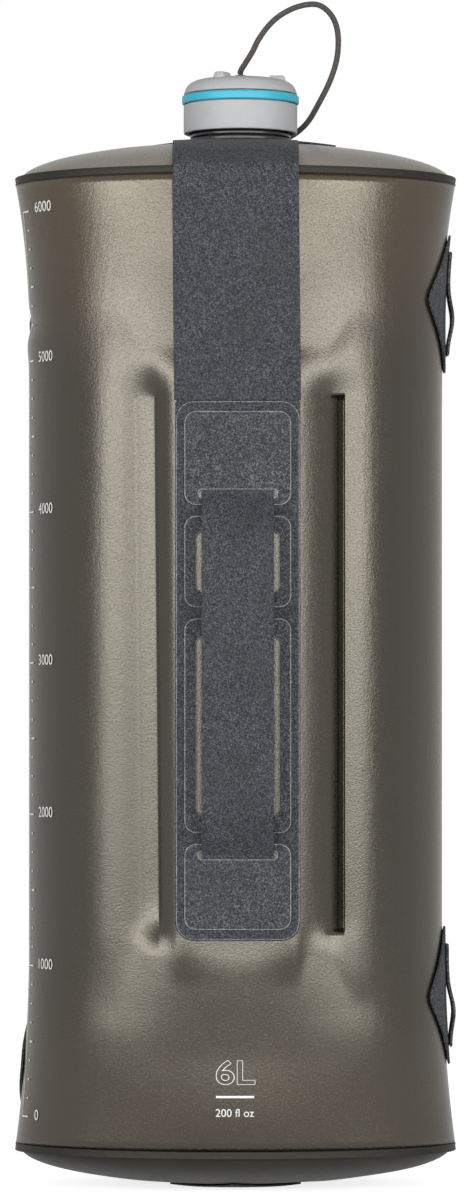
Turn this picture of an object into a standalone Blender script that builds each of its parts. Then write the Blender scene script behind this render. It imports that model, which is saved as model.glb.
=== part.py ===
"""A collapsible six litre water carrier: a soft film bag with a screw cap, a carry strap and a grab handle.

Metres, +Z up. The origin is on the floor under the middle of the bag, and the handle faces -Y.
"""

import math

import bmesh
import bpy
from mathutils import Matrix

# Clearances
GAP = 0.0003  # between pieces that touch
SKIN_GAP = 0.0005  # under a sheet that lies on a curved wall

# Bag
END_HALF_WIDTH = 0.0882
END_HALF_DEPTH = 0.056
WAIST = 0.0052  # how much the sides draw in between the ends
BELLY = 0.006  # how much the front and back swell between the ends
MIDDLE_HALF_WIDTH = END_HALF_WIDTH - WAIST
MIDDLE_HALF_DEPTH = END_HALF_DEPTH + BELLY
BAG_BASE_Z = 0.0178  # lower edge of the walls
BAG_HEIGHT = 0.3835
BASE_FLARE = 0.078  # how far up the walls widen towards the base
TOP_FLARE = 0.057
FILM = 0.0008
BAG_TOP_Z = BAG_BASE_Z + BAG_HEIGHT
WALL_ROW_SHARES = (0.0, 0.12, 0.28, 0.5, 0.75)

# Between two creases, where inner webs hold the front wall to the back wall, the bag swells in three pillows
CREASE_X = 0.039
CREASE_SINK = 0.0129  # how much nearer the middle plane than the swell of the bag
CREASE_HALF_DEPTH = MIDDLE_HALF_DEPTH - CREASE_SINK
CREASE_MARGIN = 0.0022  # beyond either end of the handle
CREASE_FADE = 0.030
GROUND_SINK = 0.002
GROUND_HALF_DEPTH = MIDDLE_HALF_DEPTH - GROUND_SINK  # the flat ground that carries the handle
GROUND_HALF_WIDTH = 0.0258
BACK_SINK = 0.0005
BACK_HALF_DEPTH = MIDDLE_HALF_DEPTH - BACK_SINK
WEB = 0.0008
HANDLE_LOW_Z = 0.1003
HANDLE_LENGTH = 0.2114
HANDLE_HIGH_Z = HANDLE_LOW_Z + HANDLE_LENGTH
CREASE_LOW_Z = HANDLE_LOW_Z - CREASE_MARGIN
CREASE_HIGH_Z = HANDLE_HIGH_Z + CREASE_MARGIN
WEB_ROW_SHARES = (0.25, 0.5, 0.75)
LOBE_COLUMNS = 8
CHANNEL_COLUMNS = 6

# Welded rims and end panels
RIM_HEIGHT = 0.0034
RIM_THICKNESS = 0.0018
RIM_PROUD = 0.0005
TOP_RISE = 0.0138
TOP_FLAT_SHARE = 0.42
BASE_FLAT_SHARE = 0.5
PANEL_RING_SHARES = (1.0, 0.98, 0.93, 0.85, 0.74, 0.6)
PANEL_STEPS = 40
PANEL_HALF_WIDTH = END_HALF_WIDTH + RIM_PROUD - RIM_THICKNESS - GAP
PANEL_HALF_DEPTH = END_HALF_DEPTH + RIM_PROUD - RIM_THICKNESS - GAP
TOP_PANEL_EDGE_Z = BAG_TOP_Z + RIM_HEIGHT / 2
TOP_FLAT_Z = TOP_PANEL_EDGE_Z + TOP_RISE

# Fabric and lash tabs
FABRIC = 0.0009
TAB_HALF_HEIGHT = 0.0275
TAB_HALF_WIDTH = 0.0275
TAB_TIP = 0.0026
TAB_CORNER_RADIUS = 0.003
LOOP_HALF_LENGTH = 0.0205
LOOP_HALF_WIDTH = 0.010
LOOP_BOW = 0.0024
PRESSED_LOOP_LENGTH_SHARE = 0.8  # what shows of the loop under the base, of its length and width
PRESSED_LOOP_WIDTH_SHARE = 0.6
RIGHT_UPPER_TAB_Z = 0.354
RIGHT_LOWER_TAB_Z = 0.0765
RIGHT_TAB_FORWARD = 0.0  # along the wall, from the side line to the middle of the tab
LEFT_UPPER_TAB_Z = 0.346
LEFT_LOWER_TAB_Z = 0.0485
LEFT_UPPER_TAB_FORWARD = -0.038
LEFT_LOWER_TAB_FORWARD = -0.024
TAB_ROW_SHARES = (-1.0, -0.9, -0.6, -0.3, 0.0, 0.3, 0.6, 0.9, 1.0)
LOOP_ROW_SHARES = (-1.0, -0.8, -0.6, -0.35, 0.0, 0.35, 0.6, 0.8, 1.0)
TAB_COLUMNS = 8
LOOP_COLUMNS = 4
BASE_FLAT_Z = FABRIC + GAP
BASE_PANEL_EDGE_Z = BAG_BASE_Z - RIM_HEIGHT / 2

# Neck
NECK_X = 0.002
NECK_BORE_RADIUS = 0.0170
NECK_WALL = 0.0022
NECK_LENGTH = 0.0164  # above the seat of the collar
NECK_SHOW = 0.0020  # the part seen between the collar and the cap
NECK_FLANGE_WIDTH = 0.0030
NECK_FLANGE = 0.0012
BEAD_HEIGHT = 0.0016
BEAD_REACH = 0.0010
BEAD_EDGE = 0.0004
THREAD_LEAD = 0.008
THREAD_RIDGE = 0.0011
NECK_TURNS_SHARE = 1.0
CAP_TURNS_SHARE = 0.55
THREAD_TOP_MARGIN = 0.0021  # from the neck's top edge to the middle of its ridge
THREAD_POINTS = 22  # in a turn
NECK_RADIUS = NECK_BORE_RADIUS + NECK_WALL
NECK_PATCH_HALF_WIDTH = 0.037
NECK_PATCH_HALF_DEPTH = 0.024
NECK_PATCH_X = 0.0034
NECK_PATCH_STEPS = 20
COLLAR_SEAT_Z = TOP_FLAT_Z + GAP + FABRIC + GAP
COLLAR_HEIGHT = 0.0018
COLLAR_WIDTH = 0.0013
COLLAR_EAR_RADIUS = 0.0250
COLLAR_EAR_WIDTH = 0.0056
COLLAR_EAR_ANGLE = math.radians(47)
NECK_TOP_Z = COLLAR_SEAT_Z + NECK_LENGTH

# Cap
ROUND_STEPS = 40
THREAD_CLEARANCE = 0.00045
CAP_WALL = 0.0021
CAP_DECK = 0.0014
GASKET = 0.0012
GASKET_WIDTH = 0.0040
CAP_RING_HEIGHT = 0.0037
CAP_RING_WIDTH = 0.0016
CAP_RING_PROUD = 0.00065
DOME_HEIGHT = 0.0068
DOME_WALL = 0.0018
DOME_EDGE = 0.0001  # how far the dome stands inside the skirt's outer face
LUG_RADIUS = 0.0146
LUG_LENGTH = 0.0080
LUG_WIDTH = 0.0056
LUG_HEIGHT = 0.0036
LUG_PROUD = 0.0009  # above the crown of the dome
LUG_TAPER_SHARE = 0.72
LUG_COUNT = 3
LUG_EDGE = 0.0004
SWIVEL_POST_RADIUS = 0.0022
SWIVEL_BUTTON_RADIUS = 0.0032
SWIVEL_FOOT_RADIUS = 0.0040
SWIVEL_BUTTON = 0.0009
SWIVEL_EDGE = 0.0006
SWIVEL_FOOT = 0.0008
CAP_BORE_RADIUS = NECK_RADIUS + THREAD_RIDGE + THREAD_CLEARANCE
CAP_RADIUS = CAP_BORE_RADIUS + CAP_WALL
CAP_BASE_Z = COLLAR_SEAT_Z + COLLAR_HEIGHT + GAP + NECK_SHOW
GASKET_Z = NECK_TOP_Z + GAP
DECK_Z = GASKET_Z + GASKET + GAP
DECK_TOP_Z = DECK_Z + CAP_DECK
SKIRT_TOP_Z = DECK_TOP_Z - CAP_RING_HEIGHT - GAP
DOME_BASE_Z = DECK_TOP_Z + GAP
DOME_TOP_Z = DOME_BASE_Z + DOME_HEIGHT
DOME_RADIUS = CAP_RADIUS - DOME_EDGE
# Radius and height of the dome's crown, as shares of its radius and height, from the middle out
DOME_CROWN_SHARES = ((0.44, 0.955), (0.73, 0.84), (0.86, 0.68), (0.935, 0.49), (0.975, 0.22), (1.0, 0.0))

# Tether
TETHER_RADIUS = 0.00115
TETHER_STEPS = 44
# The route of the tether, from the swivel on the cap to the ear of the collar behind the neck
TETHER_ROUTE = (
    (0.0020, 0.0000, 0.4466),
    (0.0022, 0.0001, 0.4481),
    (0.0041, 0.0002, 0.4512),
    (0.0068, 0.0003, 0.4556),
    (0.0093, 0.0005, 0.4606),
    (0.0132, 0.0007, 0.4660),
    (0.0178, 0.0009, 0.4702),
    (0.0240, 0.0012, 0.4735),
    (0.0303, 0.0016, 0.4749),
    (0.0347, 0.0021, 0.4741),
    (0.0386, 0.0028, 0.4706),
    (0.0408, 0.0035, 0.4656),
    (0.0414, 0.0043, 0.4591),
    (0.0405, 0.0054, 0.4518),
    (0.0378, 0.0070, 0.4440),
    (0.0339, 0.0092, 0.4364),
    (0.0294, 0.0122, 0.4290),
    (0.0245, 0.0155, 0.4246),
    (0.0199, 0.0179, 0.4222),
    (0.0191, 0.0183, 0.4204),
)

# Strap and handle
STRAP_HALF_WIDTH = 0.0249
STRAP_COLUMN_SHARES = (-1.0, -0.67, -0.33, 0.0, 0.33, 0.67, 1.0)
STRAP_DOME_SHARES = (0.965, 0.93, 0.88, 0.82, 0.75, 0.67, 0.58, 0.52)
STRAP_WALL_SHARES = (0.0, 0.2, 0.4, 0.55, 0.7, 0.82, 0.92)
HANDLE_X = 0.0009
HANDLE_WIDTH = 0.0490
HANDLE_THICKNESS = 0.0011
HANDLE_CORNER_RADIUS = 0.0072
PAD_WIDTH = 0.0417
PAD_THICKNESS = 0.0009
PAD_EDGE = 0.0003
PAD_CORNER_RADIUS = 0.0045
PAD_MARGIN = 0.0044  # from the ends of the handle to the outer pads
LOWER_PAD_LENGTH = 0.0335
LONG_FRAME_LENGTH = 0.0838
SHORT_FRAME_LENGTH = 0.0357
UPPER_PAD_LENGTH = 0.0366
WINDOW_WIDTH = 0.0322
LONG_FRAME_END = 0.00725  # from the ends of the frame to its window
SHORT_FRAME_END = 0.00615
LONG_WINDOW_LENGTH = LONG_FRAME_LENGTH - 2 * LONG_FRAME_END
SHORT_WINDOW_LENGTH = SHORT_FRAME_LENGTH - 2 * SHORT_FRAME_END
WINDOW_CORNER_RADIUS = 0.0022
SLOT_LENGTH = 0.0306
SLOT_HEIGHT = 0.0032
SLOT_MARGIN = 0.0044  # from the inner end of an anchor pad to the middle of its slot
CORNER_STEPS = 5
LOWER_PAD_Z = HANDLE_LOW_Z + PAD_MARGIN + LOWER_PAD_LENGTH / 2
UPPER_PAD_Z = HANDLE_HIGH_Z - PAD_MARGIN - UPPER_PAD_LENGTH / 2
PAD_SPACE = UPPER_PAD_Z - UPPER_PAD_LENGTH / 2 - LOWER_PAD_Z - LOWER_PAD_LENGTH / 2
PAD_STEP = (PAD_SPACE - LONG_FRAME_LENGTH - SHORT_FRAME_LENGTH) / 3
LONG_FRAME_Z = LOWER_PAD_Z + LOWER_PAD_LENGTH / 2 + PAD_STEP + LONG_FRAME_LENGTH / 2
SHORT_FRAME_Z = UPPER_PAD_Z - UPPER_PAD_LENGTH / 2 - PAD_STEP - SHORT_FRAME_LENGTH / 2
LOWER_SLOT_Z = LOWER_PAD_Z + LOWER_PAD_LENGTH / 2 - SLOT_MARGIN
UPPER_SLOT_Z = UPPER_PAD_Z - UPPER_PAD_LENGTH / 2 + SLOT_MARGIN
HANDLE_BACK_Y = -GROUND_HALF_DEPTH - GAP
PAD_BACK_Y = HANDLE_BACK_Y - HANDLE_THICKNESS - GAP
PAD_FACE_Y = PAD_BACK_Y - PAD_THICKNESS

# Grab band
BAND_HALF_WIDTH = 0.0141
BAND_THICKNESS = 0.0015
BAND_BOW = 0.0100
BAND_RAMP = 0.022
BAND_JOIN_GAP = 0.0003
BAND_MIDDLE_SHARES = (0.0, 0.25, 0.5, 0.75, 1.0)
BAND_RAMP_SHARES = (0.0, 0.07, 0.18, 0.34, 0.52, 0.74, 1.0)
BAND_RISE_POWER = 2.2
BAND_CROWN_SHARE = 0.14  # how much more the middle of the band stands out than its shoulders

COLOURS = {
    "film": (0.23, 0.20, 0.165, 1.0),
    "weld": (0.15, 0.135, 0.115, 1.0),
    "fabric": (0.055, 0.058, 0.066, 1.0),
    "cap": (0.30, 0.305, 0.315, 1.0),
    "ring": (0.03, 0.55, 0.84, 1.0),
    "neck": (0.012, 0.012, 0.013, 1.0),
    "tether": (0.03, 0.027, 0.024, 1.0),
    "silicone": (0.55, 0.56, 0.57, 1.0),
}


def clear_scene():
    for obj in list(bpy.data.objects):
        bpy.data.objects.remove(obj, do_unlink=True)


def collection_named(name):
    found = bpy.data.collections.new(name)
    bpy.context.scene.collection.children.link(found)
    return found


clear_scene()
PARTS = collection_named("water_carrier")
CUTTERS = collection_named("cutters")


def material(name, finish, roughness, metallic=0.0):
    made = bpy.data.materials.new(name)
    made.use_nodes = True
    shader = made.node_tree.nodes["Principled BSDF"]
    shader.inputs["Base Color"].default_value = COLOURS[finish]
    shader.inputs["Roughness"].default_value = roughness
    shader.inputs["Metallic"].default_value = metallic
    made.diffuse_color = COLOURS[finish]
    return made


def add_object(name, data, finish, roughness):
    obj = bpy.data.objects.new(name, data)
    PARTS.objects.link(obj)
    data.materials.append(material(name, finish, roughness))
    return obj


def skin(name, rows, thickness, finish, roughness=0.5, closed=False, flip=False):
    """A sheet through rows of points, thickened away from the side that its faces point to."""
    mesh = bpy.data.meshes.new(name)
    sheet = bmesh.new()
    grid = [[sheet.verts.new(point) for point in row] for row in rows]
    width = len(rows[0])
    for lower, upper in zip(grid, grid[1:]):
        for i in range(width if closed else width - 1):
            j = (i + 1) % width
            corners = (lower[i], lower[j], upper[j], upper[i])
            sheet.faces.new(reversed(corners) if flip else corners)
    sheet.to_mesh(mesh)
    sheet.free()
    mesh.shade_smooth()
    obj = add_object(name, mesh, finish, roughness)
    solidify = obj.modifiers.new("thickness", "SOLIDIFY")
    solidify.thickness = thickness
    solidify.offset = -1.0
    solidify.use_even_offset = True
    return obj


def turned(name, profile, finish, roughness=0.4, x=0.0, steps=ROUND_STEPS):
    """A body of revolution about a vertical axis at x. The profile runs down its outer side."""
    mesh = bpy.data.meshes.new(name)
    on_axis = profile[0][0] == 0 and profile[-1][0] == 0
    edges = [(i, i + 1) for i in range(len(profile) - 1)]
    if not on_axis:
        edges.append((len(profile) - 1, 0))
    mesh.from_pydata([(radius, 0, z) for radius, z in profile], edges, [])
    obj = add_object(name, mesh, finish, roughness)
    obj.location.x = x
    screw = obj.modifiers.new("turn", "SCREW")
    screw.angle = 2 * math.pi
    screw.steps = steps
    screw.render_steps = steps
    screw.use_merge_vertices = True
    screw.merge_threshold = 0.00001
    screw.use_smooth_shade = True
    return obj


def rounded_corners(corners, radius):
    """The points of a convex outline whose corners, given anticlockwise, are rounded."""
    points = []
    count = len(corners)
    for i, (x, y) in enumerate(corners):
        before, after = corners[i - 1], corners[(i + 1) % count]
        heading_in = math.atan2(y - before[1], x - before[0])
        heading_out = math.atan2(after[1] - y, after[0] - x)
        turn = (heading_out - heading_in) % (2 * math.pi)
        run = radius * math.tan(turn / 2)
        centre_x = x - run * math.cos(heading_in) - radius * math.sin(heading_in)
        centre_y = y - run * math.sin(heading_in) + radius * math.cos(heading_in)
        for step in range(CORNER_STEPS):
            heading = heading_in + turn * step / (CORNER_STEPS - 1)
            points.append((centre_x + radius * math.sin(heading), centre_y - radius * math.cos(heading)))
    return points


def rectangle(width, height, x=0.0, y=0.0):
    half_width, half_height = width / 2, height / 2
    return [
        (x - half_width, y - half_height),
        (x + half_width, y - half_height),
        (x + half_width, y + half_height),
        (x - half_width, y + half_height),
    ]


def plate(name, outlines, thickness, finish, edge=0.0, roughness=0.6):
    """A flat plate in the local XY plane, its middle at z 0. Later outlines are holes in the first."""
    curve = bpy.data.curves.new(name, "CURVE")
    curve.dimensions = "2D"
    curve.fill_mode = "BOTH"
    curve.extrude = thickness / 2 - edge
    curve.bevel_depth = edge
    curve.bevel_resolution = 0
    curve.offset = -edge
    for outline in outlines:
        spline = curve.splines.new("POLY")
        spline.points.add(len(outline) - 1)
        for point, (x, y) in zip(spline.points, outline):
            point.co = (x, y, 0, 1)
        spline.use_cyclic_u = True
    return add_object(name, curve, finish, roughness)


def front_plate(name, outlines, back_y, thickness, edge=0.0, roughness=0.6):
    """A plate that stands upright, its back at back_y and its local Y up."""
    obj = plate(name, outlines, thickness, "fabric", edge, roughness)
    obj.rotation_euler.x = math.pi / 2
    obj.location = (HANDLE_X, back_y - thickness / 2, 0)
    return obj


def smooth_route(points, count):
    """Points spaced evenly by parameter along a curve through the given points."""
    made = []
    last = len(points) - 1
    for step in range(count + 1):
        at = step / count * last
        i = min(int(at), last - 1)
        t = at - i
        p0, p1, p2, p3 = (points[min(max(k, 0), last)] for k in (i - 1, i, i + 1, i + 2))
        place = []
        for a, b, c, d in zip(p0, p1, p2, p3):
            square, cube = 2 * a - 5 * b + 4 * c - d, 3 * b - a - 3 * c + d
            place.append((2 * b + (c - a) * t + square * t**2 + cube * t**3) / 2)
        made.append(tuple(place))
    return made


def tube(name, points, radius, finish, roughness=0.6):
    curve = bpy.data.curves.new(name, "CURVE")
    curve.dimensions = "3D"
    curve.bevel_depth = radius
    curve.bevel_resolution = 2
    curve.use_fill_caps = True
    spline = curve.splines.new("POLY")
    spline.points.add(len(points) - 1)
    for point, place in zip(spline.points, points):
        point.co = (*place, 1)
    return add_object(name, curve, finish, roughness)


def as_mesh(obj):
    """The curve object as a closed mesh object of the same name and place."""
    bpy.context.view_layer.update()
    graph = bpy.context.evaluated_depsgraph_get()
    mesh = bpy.data.meshes.new_from_object(obj.evaluated_get(graph))
    welded = bmesh.new()
    welded.from_mesh(mesh)
    bmesh.ops.remove_doubles(welded, verts=welded.verts, dist=0.000001)
    bmesh.ops.recalc_face_normals(welded, faces=welded.faces)
    welded.to_mesh(mesh)
    welded.free()
    name = obj.name
    matrix = obj.matrix_world.copy()
    bpy.data.objects.remove(obj, do_unlink=True)
    made = bpy.data.objects.new(name, mesh)
    made.matrix_world = matrix
    PARTS.objects.link(made)
    return made


def join_into(obj, other):
    """Adds the other solid to this one with a Boolean, and keeps it as a hidden helper."""
    for holder in list(other.users_collection):
        holder.objects.unlink(other)
    CUTTERS.objects.link(other)
    other.hide_render = True
    other.display_type = "WIRE"
    union = obj.modifiers.new("join_" + other.name, "BOOLEAN")
    union.operation = "UNION"
    union.solver = "EXACT"
    union.object = other


# The shape of the bag


def between(low, high, share):
    return low + (high - low) * share


def flare_share(z):
    """1 at either end of the walls, 0 along their straight middle."""
    from_base = max(0.0, 1 - (z - BAG_BASE_Z) / BASE_FLARE)
    from_top = max(0.0, 1 - (BAG_TOP_Z - z) / TOP_FLARE)
    return min(1.0, from_base**2 + from_top**2)


def half_sizes(z):
    share = flare_share(z)
    return (
        between(MIDDLE_HALF_WIDTH, END_HALF_WIDTH, share),
        between(MIDDLE_HALF_DEPTH, END_HALF_DEPTH, share),
    )


def crease_window(z):
    """1 beside the inner webs, fading to 0 past their ends."""
    past = max(CREASE_LOW_Z - z, z - CREASE_HIGH_Z, 0.0)
    share = max(0.0, 1 - past / CREASE_FADE)
    return share * share * (3 - 2 * share)


def arch(x, half_span, rise):
    """The height of a circular arc over its chord, at x from the middle."""
    radius = (half_span**2 + rise**2) / (2 * rise)
    return math.sqrt(max(0.0, radius**2 - x**2)) - (radius - rise)


def pillow_depth(x, side):
    """The depth of the three pillows: an arc over each side, and a middle that is flat under the handle."""
    if abs(x) >= CREASE_X:
        radius = (CREASE_HALF_DEPTH**2 / (MIDDLE_HALF_WIDTH - CREASE_X) + MIDDLE_HALF_WIDTH - CREASE_X) / 2
        return math.sqrt(max(0.0, radius**2 - (abs(x) - MIDDLE_HALF_WIDTH + radius) ** 2))
    if side > 0:
        return CREASE_HALF_DEPTH + arch(x, CREASE_X, BACK_HALF_DEPTH - CREASE_HALF_DEPTH)
    share = max(0.0, abs(x) - GROUND_HALF_WIDTH) / (CREASE_X - GROUND_HALF_WIDTH)
    fall = share * (1 + share) / 2
    return between(GROUND_HALF_DEPTH, CREASE_HALF_DEPTH, fall)


def depth_at(x, z, side=-1):
    """How far the wall's outer face stands from the middle plane: side -1 is the front, 1 the back."""
    half_width, half_depth = half_sizes(z)
    round_depth = half_depth * math.sqrt(max(0.0, 1 - (x / half_width) ** 2))
    return between(round_depth, pillow_depth(x, side), crease_window(z))


def wall_rows():
    rows = [BAG_BASE_Z + GAP + BASE_FLARE * share for share in WALL_ROW_SHARES]
    rows += [CREASE_LOW_Z - CREASE_FADE, CREASE_LOW_Z - CREASE_FADE / 2, CREASE_LOW_Z]
    rows += [between(CREASE_LOW_Z, CREASE_HIGH_Z, share) for share in WEB_ROW_SHARES]
    rows += [CREASE_HIGH_Z, CREASE_HIGH_Z + CREASE_FADE / 2, CREASE_HIGH_Z + CREASE_FADE]
    rows += [BAG_TOP_Z - GAP - TOP_FLARE * share for share in WALL_ROW_SHARES]
    return sorted(rows)


def wall_angles():
    """Angles round half of the section, with a column of points along each crease."""
    side = math.asin(GAP / 2 / MIDDLE_HALF_DEPTH)
    crease = math.acos(CREASE_X / MIDDLE_HALF_WIDTH)
    lobe = [between(side, crease, i / LOBE_COLUMNS) for i in range(LOBE_COLUMNS)]
    channel = [between(crease, math.pi / 2, i / CHANNEL_COLUMNS * 2) for i in range(CHANNEL_COLUMNS // 2 + 1)]
    half = lobe + channel
    return half + [math.pi - angle for angle in reversed(half[:-1])]


def wall(name, side):
    """Half of the bag's wrap: side -1 is the front, 1 the back."""
    rows = []
    for z in wall_rows():
        half_width = half_sizes(z)[0]
        row = []
        for angle in wall_angles():
            x = half_width * math.cos(angle)
            row.append((x, side * max(depth_at(x, z, side), GAP / 2), z))
        rows.append(row)
    skin(name, rows, FILM, "film", 0.45, flip=side < 0)


def web(name, side):
    """An inner sheet that ties the front wall to the back wall along a crease."""
    half_depth = depth_at(CREASE_X, CREASE_LOW_Z) - FILM - GAP
    height = CREASE_HIGH_Z - CREASE_LOW_Z
    mesh = bpy.data.meshes.new(name)
    body = bmesh.new()
    bmesh.ops.create_cube(body, size=1.0)
    bmesh.ops.scale(body, vec=(WEB, 2 * half_depth, height), verts=body.verts)
    bmesh.ops.translate(body, vec=(0, 0, CREASE_LOW_Z + height / 2), verts=body.verts)
    body.to_mesh(mesh)
    body.free()
    obj = add_object(name, mesh, "film", 0.45)
    obj.location.x = side * CREASE_X


def rim(name, low_z):
    """The welded band that joins the walls to an end panel."""
    mesh = bpy.data.meshes.new(name)
    band = bmesh.new()
    bmesh.ops.create_cone(
        band, cap_ends=False, segments=PANEL_STEPS, radius1=1.0, radius2=1.0, depth=RIM_HEIGHT - GAP
    )
    half_width = END_HALF_WIDTH + RIM_PROUD
    half_depth = END_HALF_DEPTH + RIM_PROUD
    bmesh.ops.scale(band, vec=(half_width, half_depth, 1.0), verts=band.verts)
    bmesh.ops.translate(band, vec=(0, 0, low_z + RIM_HEIGHT / 2), verts=band.verts)
    band.to_mesh(mesh)
    band.free()
    obj = add_object(name, mesh, "weld", 0.4)
    solidify = obj.modifiers.new("thickness", "SOLIDIFY")
    solidify.thickness = RIM_THICKNESS
    solidify.offset = -1.0
    solidify.use_even_offset = True


def dome_share(x, y, flat_share):
    """0 over the flat middle of an end panel, rising to 1 at its edge."""
    reach = min(1.0, math.hypot(x / PANEL_HALF_WIDTH, y / PANEL_HALF_DEPTH))

    def sunk(share):
        return 1 - math.sqrt(1 - share * share)

    return max(0.0, (sunk(reach) - sunk(flat_share)) / (1 - sunk(flat_share)))


def top_z(x, y):
    return TOP_FLAT_Z - TOP_RISE * dome_share(x, y, TOP_FLAT_SHARE)


def base_z(x, y):
    return between(BASE_FLAT_Z, BASE_PANEL_EDGE_Z, dome_share(x, y, BASE_FLAT_SHARE))


def panel_rows(height_at, inner_width, inner_depth, inner_x):
    """Rings of points from the panel's edge in to a small oval or round ring."""
    rows = []
    for share in (*PANEL_RING_SHARES, 0.0):
        row = []
        for step in range(PANEL_STEPS):
            angle = 2 * math.pi * step / PANEL_STEPS
            x = share * PANEL_HALF_WIDTH * math.cos(angle)
            y = share * PANEL_HALF_DEPTH * math.sin(angle)
            if share == 0.0:
                x = inner_x + inner_width * math.cos(angle)
                y = inner_depth * math.sin(angle)
            row.append((x, y, height_at(x, y)))
        rows.append(row)
    return rows


def end_panels():
    hole = NECK_RADIUS + GAP
    flat = [share * half for share in (TOP_FLAT_SHARE,) for half in (PANEL_HALF_WIDTH, PANEL_HALF_DEPTH)]
    rows = panel_rows(top_z, *flat, 0.0)
    rows += panel_rows(top_z, hole, hole, NECK_X)[-1:]
    skin("top_panel", rows, FILM, "film", 0.35, closed=True)

    flat = [BASE_FLAT_SHARE * half for half in (PANEL_HALF_WIDTH, PANEL_HALF_DEPTH)]
    rows = panel_rows(base_z, *flat, 0.0)
    obj = skin("bottom_panel", rows, FILM, "film", 0.35, closed=True, flip=True)
    fill = bmesh.new()
    fill.from_mesh(obj.data)
    inner = [edge for edge in fill.edges if edge.is_boundary and edge.verts[0].co.z < BASE_PANEL_EDGE_Z / 2]
    bmesh.ops.holes_fill(fill, edges=inner, sides=0)
    fill.to_mesh(obj.data)
    fill.free()
    obj.data.shade_smooth()


def side_point(side, along, z, out):
    """A point on the bag's side: along is the arc length from the side line, forwards."""
    half_width, half_depth = half_sizes(z)
    angle, steps = 0.0, 24
    for _ in range(steps):
        here = math.hypot(half_width * math.sin(angle), half_depth * math.cos(angle))
        angle += along / steps / here
    normal = (math.cos(angle) / half_width, -math.sin(angle) / half_depth)
    length = math.hypot(*normal)
    return (
        side * (half_width * math.cos(angle) + out * normal[0] / length),
        -half_depth * math.sin(angle) + out * normal[1] / length,
        z,
    )


def side_tab(prefix, side, middle_z, forward):
    """A diamond of fabric welded to the bag's side, with a loop of webbing over it."""

    def strip(z, half_width, out, columns):
        places = [forward + half_width * (1 - 2 * i / columns) for i in range(columns + 1)]
        return [side_point(side, along, z, out) for along in places]

    rows = []
    for share in TAB_ROW_SHARES:
        half_width = between(TAB_HALF_WIDTH, TAB_TIP, abs(share))
        rows.append(strip(middle_z + TAB_HALF_HEIGHT * share, half_width, SKIN_GAP + FABRIC, TAB_COLUMNS))
    skin(prefix + "_lash_patch", rows, FABRIC, "fabric", 0.8, flip=side < 0)

    rows = []
    for share in LOOP_ROW_SHARES:
        out = SKIN_GAP + FABRIC + GAP + FABRIC + LOOP_BOW * math.cos(math.pi / 2 * share) ** 2
        rows.append(strip(middle_z + LOOP_HALF_LENGTH * share, LOOP_HALF_WIDTH, out, LOOP_COLUMNS))
    skin(prefix + "_lash_loop", rows, FABRIC, "fabric", 0.8, flip=side < 0)


def bottom_tab():
    """The same diamond under the base. The bag stands on it, so its loop is pressed flat into it."""
    diamond = [(0, -TAB_HALF_HEIGHT), (TAB_HALF_WIDTH, 0), (0, TAB_HALF_HEIGHT), (-TAB_HALF_WIDTH, 0)]
    length = 2 * LOOP_HALF_LENGTH * PRESSED_LOOP_LENGTH_SHARE
    width = 2 * LOOP_HALF_WIDTH * PRESSED_LOOP_WIDTH_SHARE
    place = rounded_corners(rectangle(length, width), GAP)
    outline = rounded_corners(diamond, TAB_CORNER_RADIUS)
    patch = plate("bottom_lash_patch", [outline, place], FABRIC, "fabric", roughness=0.8)
    patch.location.z = FABRIC / 2
    loop = plate(
        "bottom_lash_loop",
        [rounded_corners(rectangle(length - 2 * GAP, width - 2 * GAP), GAP)],
        FABRIC,
        "fabric",
        roughness=0.8,
    )
    loop.location.z = FABRIC / 2


# Neck, cap and tether


def thread(name, radius, top_z, turns, drop):
    """A ridge that winds down a right-handed helix. The drop carries on from another ridge's start."""
    count = round(THREAD_POINTS * turns)
    points = []
    for step in range(count + 1):
        turned_by = -2 * math.pi * turns * step / count
        z = top_z - drop + THREAD_LEAD * turned_by / (2 * math.pi)
        points.append((radius * math.cos(turned_by), radius * math.sin(turned_by), z))
    ridge = as_mesh(tube(name, points, THREAD_RIDGE, "neck"))
    ridge.location.x = NECK_X
    return ridge


def neck():
    flange_top = TOP_FLAT_Z - FILM - GAP
    bead_low = COLLAR_SEAT_Z + COLLAR_HEIGHT + GAP
    profile = [
        (NECK_RADIUS, NECK_TOP_Z),
        (NECK_RADIUS, bead_low + BEAD_HEIGHT),
        (NECK_RADIUS + BEAD_REACH, bead_low + BEAD_HEIGHT - BEAD_EDGE),
        (NECK_RADIUS + BEAD_REACH, bead_low + BEAD_EDGE),
        (NECK_RADIUS, bead_low),
        (NECK_RADIUS, flange_top),
        (NECK_RADIUS + NECK_FLANGE_WIDTH, flange_top),
        (NECK_RADIUS + NECK_FLANGE_WIDTH, flange_top - NECK_FLANGE),
        (NECK_BORE_RADIUS, flange_top - NECK_FLANGE),
        (NECK_BORE_RADIUS, NECK_TOP_Z),
    ]
    obj = turned("spout_neck", profile, "neck", 0.35, NECK_X)
    join_into(obj, thread("neck_thread", NECK_RADIUS, NECK_TOP_Z - THREAD_TOP_MARGIN, NECK_TURNS_SHARE, 0.0))


def neck_patch():
    """A pointed oval of fabric round the foot of the neck."""
    outline = []
    for side in (-1, 1):
        for step in range(NECK_PATCH_STEPS):
            x = side * between(-NECK_PATCH_HALF_WIDTH, NECK_PATCH_HALF_WIDTH, step / NECK_PATCH_STEPS)
            outline.append((x, side * patch_edge(x)))
    hole = []
    for step in range(ROUND_STEPS):
        angle = 2 * math.pi * step / ROUND_STEPS
        radius = NECK_RADIUS + GAP
        hole.append((NECK_X - NECK_PATCH_X + radius * math.cos(angle), radius * math.sin(angle)))
    patch = plate("neck_patch", [outline, hole], FABRIC, "fabric", roughness=0.8)
    patch.location = (NECK_PATCH_X, 0, TOP_FLAT_Z + GAP + FABRIC / 2)


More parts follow.
